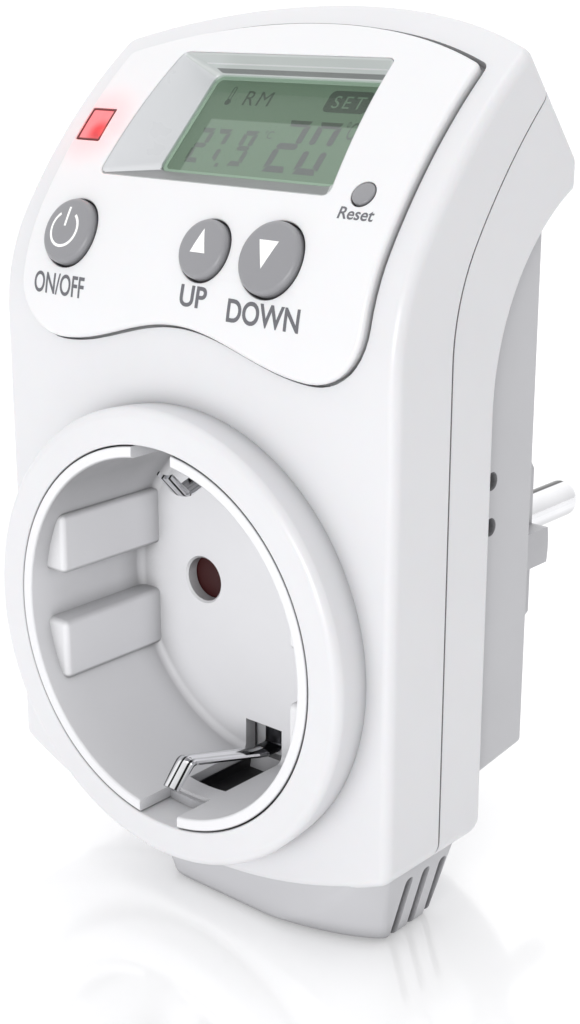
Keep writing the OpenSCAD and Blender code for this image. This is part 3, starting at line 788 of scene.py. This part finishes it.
def key_profile(r):
    rim = arc(r - KEY_EDGE, KEY_TOP - KEY_EDGE, KEY_EDGE, 0, 90, 8)
    shares = [1 - i / 6 for i in range(1, 7)]
    dome = [((r - KEY_EDGE) * k, KEY_TOP + KEY_DOME * (1 - k**2)) for k in shares]
    flange = [(0, -6.4), (1.2, -6.4), (1.2, -3.6), (r + 0.5, -3.6), (r + 0.5, -2.95), (r, -2.95)]
    return flange + rim + dome


def cap_top(r, u, v):
    """Height of the ink on a key's domed top at (u, v) from its centre."""
    k = min(math.hypot(u, v) / (r - KEY_EDGE), 1.0)
    return KEY_TOP + KEY_DOME * (1 - k * k) + INK


def inlay(name, loops, to_frame, material, body):
    """A thin printed shape. Each loop is drawn as its own island, split so that it follows the surface."""
    bm = bmesh.new()
    for loop in loops:
        verts = [bm.verts.new((p[0], p[1], 0)) for p in loop]
        bm.faces.new(verts)
    for axis in (0, 1):
        values = [v.co[axis] for v in bm.verts]
        for k in range(math.floor(min(values) * 2), math.ceil(max(values) * 2)):
            bisect(bm, axis, k / 2)
    for v in bm.verts:
        v.co = to_frame(v.co.x, v.co.y)
    make(name, bm, body, material, weighted=False)


def key_inlay(name, key, loops, body):
    frame_of, r = face_frame(KEY_X[key], KEY_S), KEY_R[key]
    inlay(name, loops, lambda u, v: frame_of(u, v, cap_top(r, u, v)), M["white_ink"], body)


for key_name, key_x, key_r in zip(("power", "up", "down"), KEY_X, KEY_R):
    cap = turned(key_profile(key_r), face_frame(key_x, KEY_S))
    make(f"{key_name}_key_cap", cap, f"{key_name}_key", M["key"], 50, (f"{key_name}_button",))
reset_profile = [
    (0, -5.5), (0.9, -5.5), (0.9, -4.0), (RESET_R + 0.8, -4.0), (RESET_R + 0.8, -3.3), (RESET_R, -3.3),
    *arc(RESET_R - 0.25, 0.25, 0.25, 0, 90, 5), (RESET_R * 0.5, 0.53), (0, 0.55),
]
reset_cap = turned(reset_profile, reset_frame, 64)
make("reset_key_cap", reset_cap, "reset_key", M["key"], sharp=50, replaces=("reset_button",))

outer_arc = arc(-0.33, 0.05, 2.15, 125, 415, 40)
inner_arc = arc(-0.33, 0.05, 1.83, 415, 125, 40)
bar = [(-0.49, 0.35), (-0.17, 0.35), (-0.17, 2.55), (-0.49, 2.55)]
key_inlay("power_sign", 0, [outer_arc + inner_arc, bar], "power_key")
key_inlay("up_sign", 1, [[(-1.2, -0.6), (0.88, -0.6), (-0.16, 2.0)]], "up_key")
key_inlay("down_sign", 2, [[(-1.5, 1.6), (-0.23, -1.36), (1.04, 1.6)]], "down_key")


def text_mesh(body, size, weight=0.0, space=1.0):
    """The outline of a word as a flat mesh. weight thickens its strokes."""
    curve = bpy.data.curves.new("word", "FONT")
    curve.body, curve.size, curve.offset, curve.space_character = body, size, weight, space
    curve.align_x, curve.align_y = "CENTER", "BOTTOM_BASELINE"
    curve.resolution_u = 6
    obj = linked("word", curve)
    mesh = bpy.data.meshes.new_from_object(obj.evaluated_get(bpy.context.evaluated_depsgraph_get()))
    bpy.data.objects.remove(obj)
    bpy.data.curves.remove(curve)
    bm = bmesh.new()
    bm.from_mesh(mesh)
    bpy.data.meshes.remove(mesh)
    return bm


def fit_word(bm, x0, x1, low, high):
    """Stretches a flat mesh to a box."""
    xs, ys = [v.co.x for v in bm.verts], [v.co.y for v in bm.verts]
    for v in bm.verts:
        v.co.x = x0 + (v.co.x - min(xs)) / (max(xs) - min(xs)) * (x1 - x0)
        v.co.y = low + (v.co.y - min(ys)) / (max(ys) - min(ys)) * (high - low)


def caption(name, word, x0, x1, low, high, weight=0.06):
    bm = text_mesh(word, 3.0, weight)
    fit_word(bm, x0, x1, low, high)
    for k in range(math.floor(low * 4), math.ceil(high * 4)):
        bisect(bm, 1, k / 4)
    for v in bm.verts:
        v.co = on_face(v.co.x, v.co.y, PANEL_RAISE + 0.02)
    make(name, bm, material=M["print"], weighted=False)


caption("caption_power", "ON/OFF", -22.0, -14.0, 2.8, 5.05, 0.045)
caption("caption_up", "UP", 0.4, 4.1, 3.8, 5.95)
caption("caption_down", "DOWN", 7.1, 16.6, 3.0, 5.3)
caption("caption_reset", "Reset", 17.5, 21.8, 14.45, 15.75, 0.04)

# ---------------- display

display_frame = face_frame(0, DISPLAY_S)
WINDOW = (-13.0, 12.2, -5.4, 8.6)
WINDOW_Z = -3.0


def window_loop(grow, corner=1.2):
    x0, x1, y0, y1 = WINDOW
    corners = [(x0 - grow, y0 - grow), (x1 + grow, y0 - grow), (x1 + grow, y1 + grow), (x0 - grow, y1 + grow)]
    return rounded_polygon(corners, [corner + grow] * 4, arc_n=6, side_n=18)


# The bezel's section, from its outer edge over the rim and down the sloping wall to the window.
rings = [
    [on_face(x, s, PANEL_RAISE - h) for x, s in offset_loop(full_recess, -d)]
    for d, h in ((0.04, 0.3), (0.04, 0.12), (0.08, 0.09), (0.2, 0.25))
]
rings += [
    [display_frame(x, y, WINDOW_Z + h) for x, y in window_loop(d)] for d, h in ((0.12, 0.12), (0, 0), (0, -1.25))
]
bezel = bmesh.new()
loft_into(bezel, rings + rings[:1], cap=False)
bezel_piece = make("display_frame", bezel, sharp=25, replaces=("display_bezel",))
for key in ("bezel", "bezel_top_painted_glow", "bezel_low_painted_shade"):
    bezel_piece.data.materials.append(M[key])
# Faces turned down the display get the top wall's painted glow, faces turned up the low wall's painted shade.
for p in bezel_piece.data.polygons:
    tip = p.normal.dot(face_up(DISPLAY_S))
    p.material_index = 1 if tip < -0.45 else 2 if tip > 0.45 else 0

LCD_Z = -3.35
REFLECTION_LEFT, REFLECTION_TOP = -10.2, 2.5


def lcd_material(name, dark, pale):
    """Display colour in two parts: dark, and a pale reflection painted over the lower right part, where the glass
    mirrors the light. It also glows evenly, painted light that evens out its shade.
    """
    look = Look(name)
    up, start = face_up(DISPLAY_S), display_frame(0, 0, 0)

    def edge(axis, at, half):
        """Fades over the edge at a distance along an axis, from nothing to full."""
        begin, full = axis.dot(start) + (at - half) / 1000, axis.dot(start) + (at + half) / 1000
        return look.remap(look.vector("DOT_PRODUCT", axis), begin, full, kind="SMOOTHSTEP")

    painted_reflection = look.math("MULTIPLY", edge(up, REFLECTION_TOP, -0.12), edge(Vector((1, 0, 0)), REFLECTION_LEFT, 0.15))
    cells = look.add("TexVoronoi", {"Scale": 6000.0, "Vector": look.coords["Object"]})
    tone = look.mix(0.05, look.mix(painted_reflection, dark, pale), cells["Color"], "MULTIPLY")
    look.bump(cells["Distance"], 0.05, 0.00002)
    # Painted light: the display glows evenly, which lifts it out of its shade.
    return look.set({
        "Base Color": look.mix(0.6, tone, BLACK), "Emission Color": tone, "Emission Strength": 0.66,
        "Roughness": look.spread(look.noise(500.0), 0.279, 0.321),
    })


M["lcd"] = lcd_material("lcd_green", (0.115, 0.165, 0.118), (0.21, 0.262, 0.215))
M["lcd_bold"] = lcd_material("lcd_segment", (0.042, 0.055, 0.043), (0.175, 0.165, 0.182))
M["lcd_faint"] = lcd_material("lcd_small_segment", (0.05, 0.066, 0.05), (0.178, 0.175, 0.184))
M["lcd_word"] = lcd_material("lcd_reversed_word", (0.12, 0.17, 0.124), (0.12, 0.17, 0.124))

pane = lofted([[display_frame(x, y, z) for x, y in window_loop(-0.06)] for z in (-3.3, -3.04)])
make("display_pane", pane, material=M["window"], replaces=("display_window",))
gasket = bmesh.new()
gasket_section = ((-0.04, -3.9), (-0.04, -3.31), (-0.55, -3.31), (-0.55, -3.9), (-0.04, -3.9))
loft_into(gasket, [[display_frame(x, y, z) for x, y in window_loop(d)] for d, z in gasket_section], cap=False)
make("display_gasket", gasket, material=M["gasket"], sharp=25)
lcd_wide, lcd_face = window_loop(1.4, 0.3), window_loop(-0.57)
lcd_box = [
    [display_frame(x, y, z) for x, y in row]
    for row, z in ((lcd_wide, -6.4), (lcd_wide, -4.5), (lcd_face, -4.5), (lcd_face, LCD_Z))
]
make("lcd_panel", lofted(lcd_box), material=M["lcd"], sharp=25, replaces=("lcd_module",))


def segments(digit, w, h, t):
    """The bars of a seven-segment digit, lower left corner at the origin."""
    lit = {"0": "abcdef", "2": "abged", "7": "abc", "9": "abcdfg"}[digit]
    g, m, c = t * 0.12, h / 2, t * 0.4
    half = t / 2
    shapes = {
        "a": [(g, h), (w - g, h), (w - g - c, h - t), (g + c, h - t)],
        "g": [(g, m), (g + c, m + half), (w - g - c, m + half), (w - g, m), (w - g - c, m - half), (g + c, m - half)],
        "f": [(0, h - t * 0.6), (t, h - t * 1.25), (t, m + t * 0.7), (half, m + t * 0.45), (0, m + t * 0.7)],
        "e": [(0, t * 0.6), (t, t * 1.25), (t, m - t * 0.7), (half, m - t * 0.45), (0, m - t * 0.7)],
    }
    shapes["d"] = [(x, h - y) for x, y in shapes["a"]]
    shapes["b"], shapes["c"] = ([(w - x, y) for x, y in shapes[k]] for k in "fe")
    return [shapes[k] for k in lit]


def flat_piece(name, loops, z, material):
    """Flat shapes printed on the display, in its own plane."""
    bm = bmesh.new()
    for loop in loops:
        bm.faces.new([bm.verts.new(display_frame(p, q, z)) for p, q in clean_loop(loop)])
    make(name, bm, material=material, weighted=False)


def reading(name, digits, y, w, h, t, material):
    """Digits with their lower left corners at the given x."""
    loops = [[(x + p, y + q) for p, q in loop] for digit, x in digits for loop in segments(digit, w, h, t)]
    flat_piece(name, loops, LCD_Z + 0.02, material)


def display_word(name, word, x0, x1, low, high, material, z=LCD_Z + 0.02, weight=0.0, space=1.0):
    bm = text_mesh(word, 3.0, weight, space)
    fit_word(bm, x0, x1, low, high)
    for v in bm.verts:
        v.co = display_frame(v.co.x, v.co.y, z)
    make(name, bm, material=material, weighted=False)


reading("room_reading", [("2", -10.55), ("7", -8.05), ("9", -4.15)], -3.65, 2.0, 4.85, 0.66, M["lcd_faint"])
reading("set_reading", [("2", 1.1), ("0", 5.3)], -4.0, 3.2, 7.0, 0.85, M["lcd_bold"])
room_point = [(-5.75, -3.95), (-5.25, -3.95), (-5.25, -3.45), (-5.75, -3.45)]
flat_piece("room_point", [room_point], LCD_Z + 0.02, M["lcd_faint"])
display_word("room_unit", "\u00b0C", -1.35, -0.1, 0.3, 1.4, M["lcd_bold"])
display_word("set_unit", "\u00b0C", 9.0, 10.5, 0.9, 3.3, M["lcd_bold"])
display_word("room_word", "RM", -7.1, -3.3, 4.65, 6.65, M["lcd_bold"], weight=0.0, space=1.2)
badge = rounded_polygon([(4.45, 4.35), (10.35, 4.35), (10.35, 7.3), (4.45, 7.3)], [0.7] * 4)
flat_piece("set_badge", [badge], LCD_Z + 0.02, M["lcd_bold"])
display_word("set_word", "SET", 5.4, 9.6, 4.9, 6.6, M["lcd_word"], z=LCD_Z + 0.035, weight=0.015, space=1.3)
tube = [(-9.62, 5.3), (-9.62, 6.9), *arc(-9.35, 6.9, 0.27, 180, 0, 6)[1:], (-9.08, 5.3), (-9.2, 5.3),
        *arc(-9.35, 6.9, 0.15, 0, 180, 6), (-9.5, 5.3)]
flat_piece("thermometer_sign", [arc(-9.35, 4.95, 0.42, 0, 345, 20), tube], LCD_Z + 0.02, M["lcd_bold"])

# ---------------- signal lamp


def lamp_material(name, hot_color, far_color, strength):
    """Lit red plastic: deepest at the lamp behind it, paler towards its edges."""
    look = Look(name)
    away = look.vector("DISTANCE", on_face(LAMP_X + 0.9, LAMP_S - 1.0, 0.8))
    tone = look.mix(look.remap(away, 0.0004, 0.0021, kind="SMOOTHSTEP"), hot_color, far_color)
    return look.set({
        "Base Color": look.mix(0.65, tone, BLACK), "Emission Color": tone, "Roughness": 0.15,
        "Emission Strength": look.spread(look.noise(900.0, 2.0), strength * 0.95, strength * 1.05),
    })


M["lamp"] = lamp_material("lamp_lens", (0.62, 0.035, 0.045), (0.86, 0.24, 0.26), 0.62)
M["lamp_core"] = lamp_material("lamp_core", (1.0, 0.05, 0.03), (0.9, 0.02, 0.02), 2.5)
lens = lofted([
    [on_face(x, s, h) for x, s in lamp_outline(d)]
    for h, d in ((-4.0, 0.26), (PANEL_RAISE - 0.12, 0.26), (PANEL_RAISE - 0.06, 0.32))
])
make("lamp_lens", lens, material=M["lamp"], replaces=("lamp_window",))
lens_rim = plate(lamp_outline(0.03), [lamp_outline(0.24)], PANEL_RAISE - 0.03, -0.6, 0.03, 0.02,
                 on_face, arc_n=2)
make("lamp_surround", lens_rim, material=M["lamp_rim"])

# ---------------- socket

ring = [(BORE_R - 0.05, FACE_Y - 0.02), (BORE_R - 0.05, 0.3), *arc(BORE_R + 0.2, 0.3, 0.25, 180, 270, 4),
        (BORE_R + 2.0, 0.0), *arc(COLLAR_R - 1.1, 1.1, 1.1, -90, 0, 10), (COLLAR_R - 0.12, 3.2),
        (COLLAR_R - 0.3, FACE_Y - 0.02)]
collar = turned(ring + ring[:1], along_y(0, 0), 160)
make("socket_ring", collar, material=M["shell"], sharp=40, replaces=("socket_collar",))

INSERT_R, INSERT_END = 21.3, 19.2
well = [
    (0, WELL_DEPTH), (WELL_R - 0.9, WELL_DEPTH), *arc(WELL_R - 0.9, WELL_DEPTH - 0.9, 0.9, 90, 0, 6)[1:],
    (WELL_R, 6.0), (WELL_R, 0.35), *arc(WELL_R + 0.3, 0.35, 0.3, 180, 270, 4)[1:],
    *arc(INSERT_R - 0.2, 0.25, 0.2, -90, 0, 4), (INSERT_R, INSERT_END), (0, INSERT_END),
]
insert = scratch("socket_insert", turned(well, along_y(0, 0), 160))


def soft_box(x, y, z, r, arc_n=4):
    """A box with rounded edges round its depth and its front."""
    corners = [(x[0], z[0]), (x[1], z[0]), (x[1], z[1]), (x[0], z[1])]
    rings = []
    for i in range(arc_n + 1):
        a = math.pi / 2 * i / arc_n
        loop = offset_loop(rounded_polygon(corners, [r] * 4, arc_n=4), -r * (1 - math.sin(a)) * 0.98)
        rings.append([place(p, y[0] + r * (1 - math.cos(a)), q) for p, q in loop])
    last = rounded_polygon(corners, [r] * 4, arc_n=4)
    rings.append([place(p, y[1], q) for p, q in last])
    return lofted(rings)


def plain_box(x, y, z):
    corners = [(x[0], z[0]), (x[1], z[0]), (x[1], z[1]), (x[0], z[1])]
    return lofted([[place(p, depth, q) for p, q in corners] for depth in y])


def mirrored(sign, a, b):
    return sorted((sign * a, sign * b))


ribs = []
for side in (-1, 1):
    for end in (-1, 1):
        rib = soft_box(mirrored(side, 16.8, 20.6), (2.4, WELL_DEPTH + 0.5), mirrored(end, 2.9, 10.0), 0.7)
        ribs.append(scratch("rib", rib))
combine(insert, ribs, "UNION")
cuts = []
for side in (-1, 1):
    mouth = HOLE_R + 0.25
    hole = [(0, 10), (mouth, 10), (mouth, WELL_DEPTH), (HOLE_R, WELL_DEPTH + 0.25), (HOLE_R, 22), (0, 22)]
    cuts.append(scratch("pin_cut", turned(hole, along_y(side * PIN_X, 0), 64)))
for end in (-1, 1):
    cuts.append(scratch("notch", plain_box((-2.9, 2.9), (-1, 5.5), mirrored(end, WELL_R - 0.6, 22.5))))
    cuts.append(scratch("slot", plain_box((-2.8, 2.8), (8.0, 21), mirrored(end, 15.8, 22.5))))
combine(insert, cuts)
finish_piece(insert, material=M["insert"], sharp=28, replaces=("socket_well", "socket_floor", "guide_ribs"))
post_start = INSERT_END - 0.3
post = turned([(0, post_start), (1.4, post_start), (1.4, 21.6), (1.3, 21.7), (0, 21.7)], along_y(0, 0), 48)
make("shutter_post", post, material=M["insert"])


def swept(line, widths, section):
    """Rings along a side-view line of (y, z). section(half width) gives each ring's outline."""
    rings = []
    for i, (y, z) in enumerate(line):
        a, b = line[max(i - 1, 0)], line[min(i + 1, len(line) - 1)]
        d = Vector((b[0] - a[0], b[1] - a[1])).normalized()
        rings.append([place(u, y - d.y * v, z + d.x * v) for u, v in section(widths[i])])
    return rings


def flat_strip(w, t=0.55):
    return rounded_polygon([(-w, -t / 2), (w, -t / 2), (w, t / 2), (-w, t / 2)], [0.12] * 4, arc_n=3)


def crowned(w, crown, t=0.5):
    """The outline of a strip whose middle is pressed out by crown."""
    steps = [k / 8 for k in range(-8, 9)]
    upper = [(w * k, t / 2 + crown * (1 - k**2)) for k in steps]
    lower = [(w * k, -t / 2 + crown * (1 - k**2)) for k in reversed(steps)]
    return upper + [(w + t * 0.2, 0.0)] + lower + [(-w - t * 0.2, 0.0)]


def bent_line(points, radii, n=10):
    """An open polyline with its inner corners rounded."""
    out = [points[0]]
    for before, corner, after, r in zip(points, points[1:], points[2:], radii):
        _, on_arc = corner_of(before, corner, after, r)
        out += [on_arc(k / n) for k in range(n + 1)]
    return out + [points[-1]]


CLIP_HALF, CLIP_CROWN, CLIP_SHADE_Y = 1.2, 0.28, 17.3
clip = bmesh.new()
for end in (-1, 1):
    tongue = bent_line([(19.55, 12.9), (19.55, 19.1), (16.9, 19.05), (4.6, 15.6), (2.15, 18.15)], [0.6, 2.2, 0.9])
    half = [
        CLIP_HALF if y > 3.0 else 0.75 + 0.55 * math.sqrt(max(1 - ((3.0 - y) / 0.95) ** 2, 0.0)) for y, _ in tongue
    ]
    line = [(y, end * z) for y, z in tongue]
    loft_into(clip, swept(line, half, lambda w, crown=CLIP_CROWN * end: crowned(w, crown)))
    loft_into(clip, swept([(19.6, end * 12.9), (22.3, end * 12.85)], [CLIP_HALF] * 2, flat_strip))
loft_into(clip, swept([(22.5, -12.6), (22.5, 12.6)], [CLIP_HALF] * 2, flat_strip))
clip_piece = make("earth_clip", clip, material=M["clip"], sharp=40, replaces=("socket_earth_clip",))
# The clip's far end, deep in the slot, is given dark steel: painted shadow.
clip_piece.data.materials.append(M["painted_shadow_steel"])
for p in clip_piece.data.polygons:
    p.material_index = int(p.center.y > place(0, CLIP_SHADE_Y, 0).y)
# Black boxes behind the clip's slots: painted shadow, so the slots look dark inside.
for end, name in ((-1, "lower"), (1, "upper")):
    shadow_box = scratch(f"slot_shadow_box_{name}", soft_box((-3.2, 3.2), (7.8, 21.2), mirrored(end, 20.95, 22.6), 0.05))
    room = scratch("tray_room", soft_box((-2.8, 2.8), (8.0, 21.0), mirrored(end, 20.0, 22.3), 0.05))
    combine(shadow_box, [room])
    finish_piece(shadow_box, material=M["black"])

# ---------------- plug block and foot

BLOCK_HALF = 27.0


def block_section(inset):
    end_y = BLOCK_Y - inset
    low_front, low_back = (BACK_Y - 0.6, -15.42 + inset), (end_y, -14.3 + inset)
    back = back_curve(BACK_BEND_R + 0.6, end_y, 40) + [low_front]
    parts = [[low_back, back[0]], back, [low_front, low_back]]
    return rounded_loop(parts, [0.0, 0.0, 0.7 - inset], [30, 40, 6], arc_n=5)


block_rings = [[place(x, y, z) for y, z in block_section(d)] for x, d in stations(BLOCK_HALF, 0.7, n_arc=4, n_mid=4)]
block = scratch("plug_block", lofted(block_rings))
side_hole = [(0, -40), (1, -40), (1, 40), (0, 40)]
cuts = [
    scratch("side_hole", turned(side_hole, lambda u, v, w, z=z: place(w, 23.0 + u, z + v), 32)) for z in (13, 18)
]
for x in (-22.6, 22.6):
    for z in (-10, 28):
        well_profile = [(0, 28.8), (2.85, 28.8), (2.85, 30.8), (3.1, 31.1), (3.1, 40), (0, 40)]
        cuts.append(scratch("screw_cut", turned(well_profile, along_y(x, z), 48)))
combine(block, cuts)
finish_piece(block, material=M["block"], replaces=("plug_housing",))


def foot_loop(z, inset):
    """Plan of the foot at height z: a wide round corner at the right front, a tight one at the left front."""
    up = (z - FOOT_Z) / (FOOT_TOP_Z - FOOT_Z)
    right, end_y = 24.4 + 2.4 * up - inset, 17.9 + 2.5 * up - inset
    lean_by, stretch = (z - FOOT_Z) * math.tan(FOOT_LEAN), 1 / math.cos(FOOT_LEAN)

    def bulge(cx, r, a0, a1, n, wide=1.0):
        points = arc(0, 0, r - inset, a0, a1, n)
        return [(cx + wide * p, max(4.4 - lean_by + stretch * (r + q), 5.0 + inset)) for p, q in points]

    sweep = (2.8, 8.5, 270, 360)
    front = bulge(0.8, 6.0, 185, 270, 20) + bulge(*sweep, 40, 2.82)
    front = [p for p in front if p[0] < right and p[1] < end_y]
    y_right = front[-1][1]
    fine = bulge(*sweep, 60, 2.82)
    for a, b in zip(fine, fine[1:]):
        if a[0] < right <= b[0]:
            y_right = a[1] + (b[1] - a[1]) * (right - a[0]) / (b[0] - a[0])
    front = resample(front + [(right, y_right)], 0, 0, 60)
    left = front[0][0]
    r = max(1.2 - inset, 0.0)
    parts = [front, [front[-1], (right, end_y)], [(right, end_y), (left, end_y)], [(left, end_y), front[0]]]
    return rounded_loop(parts, [r, r, r, 0.0], [60, 8, 12, 6], arc_n=5)


foot_levels = [(FOOT_Z + 0.8 * (1 - math.cos(math.pi / 2 * i / 5)), 0.8 * (1 - math.sin(math.pi / 2 * i / 5)))
               for i in range(6)]
foot_levels += [(z, 0.0) for z in (*range(-29, -20), -20.4)]
foot = scratch("foot_shell", lofted([[place(x, y, z) for x, y in foot_loop(z, d)] for z, d in foot_levels]))
foot_hollow = [[place(x, y, z) for x, y in foot_loop(z, 1.6)] for z in (-29.4, *range(-28, -21), -19)]
cuts = [scratch("foot_hollow", lofted(foot_hollow))]
for x in ((21, 30), (-8, -2.5)):
    for y0 in (10.2, 13.2, 16.2):
        corners = [(x[0], y0), (x[1], y0), (x[1], y0 + 1.3), (x[0], y0 + 1.3)]
        levels = [(-32.0, 1.0), (-24.1, 1.0), (-23.8, 0.87), (-23.6, 0.62), (-23.5, 0.1)]
        leaning = [
            [place(p, y0 + 0.65 + (q - y0 - 0.65) * k + (z + 31) * 0.12, z) for p, q in corners] for z, k in levels
        ]
        cuts.append(scratch("vent_slot", lofted(leaning)))
combine(foot, cuts)
finish_piece(foot, material=M["foot"], replaces=("sensor_foot",))

# ---------------- the CAD nodes that stay

for key, names in NODES_OF.items():
    for name in names:
        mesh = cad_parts[name].data
        for i in range(len(mesh.materials)):
            mesh.materials[i] = M[key]
        if not mesh.materials:
            mesh.materials.append(M[key])

# ---------------- floor, lights and camera

scene = bpy.context.scene
floor_z = place(0, 0, FOOT_Z).z - 0.0001
floor_mesh = bpy.data.meshes.new("floor")
floor_mesh.from_pydata([(-6, -6, floor_z), (6, -6, floor_z), (6, 6, floor_z), (-6, 6, floor_z)], [], [(0, 1, 2, 3)])
floor = linked("floor", floor_mesh)
gloss = plastic("floor_gloss", (0.8, 0.8, 0.805), rough=0.1, vary=0.002, grain=0.0, glow=0.3)
floor_mesh.materials.append(Look(gloss).set({"IOR": 2.4}))

world = bpy.data.worlds.new("studio")
scene.world = world
world.use_nodes = True
sky = world.node_tree
SKY_MID, SKY_SLOPE = 0.7, (-0.25, 0.36, 0.36)
direction = add_node(sky, "TexCoord", {})["Generated"]
slope = add_node(sky, "VectorMath", {0: direction, 1: SKY_SLOPE}, operation="DOT_PRODUCT")["Value"]
brightness = add_node(sky, "Math", {0: slope, 1: SKY_MID}, operation="ADD")["Value"]
feed(sky, sky.nodes["Background"], {"Color": (1, 1, 1, 1), "Strength": brightness})


def aim(obj, where, direction):
    obj.location, obj.rotation_mode = where, "QUATERNION"
    obj.rotation_quaternion = direction.to_track_quat("-Z", "Y")


def area_light(name, where, target, size, power):
    light = bpy.data.lights.new(name, "AREA")
    light.shape, light.size, light.size_y, light.energy = "RECTANGLE", size, size, power
    aim(linked(name, light), where, Vector(target) - Vector(where))


area_light("key_light", (0.26, -0.78, 0.2), (0, 0, 0.05), 0.3, 3.0)
area_light("top_light", (-0.1, 0.0, 0.9), (0, 0, 0.0), 0.5, 0.8)
glow = bpy.data.lights.new("lamp_glow", "POINT")
glow.energy, glow.color, glow.shadow_soft_size = 0.0003, (1.0, 0.06, 0.04), 0.0008
linked("lamp_glow", glow).location = on_face(LAMP_X, LAMP_S, 2.6)

AZIMUTH, ELEVATION = math.radians(41.10), math.radians(16.23)
camera_data = bpy.data.cameras.new("camera")
camera_data.sensor_fit, camera_data.sensor_width = "AUTO", 36
camera_data.lens = 58.15
camera_data.shift_x, camera_data.shift_y = 0.0089, -0.0380
camera_data.clip_start, camera_data.clip_end = 0.01, 50
camera = linked("camera", camera_data)
level = math.cos(ELEVATION)
back = Vector((math.sin(AZIMUTH) * level, -math.cos(AZIMUTH) * level, math.sin(ELEVATION)))
aim(camera, place(118.58, -115.26, 66.77), -back)
scene.camera = camera
scene.view_settings.view_transform = "Standard"
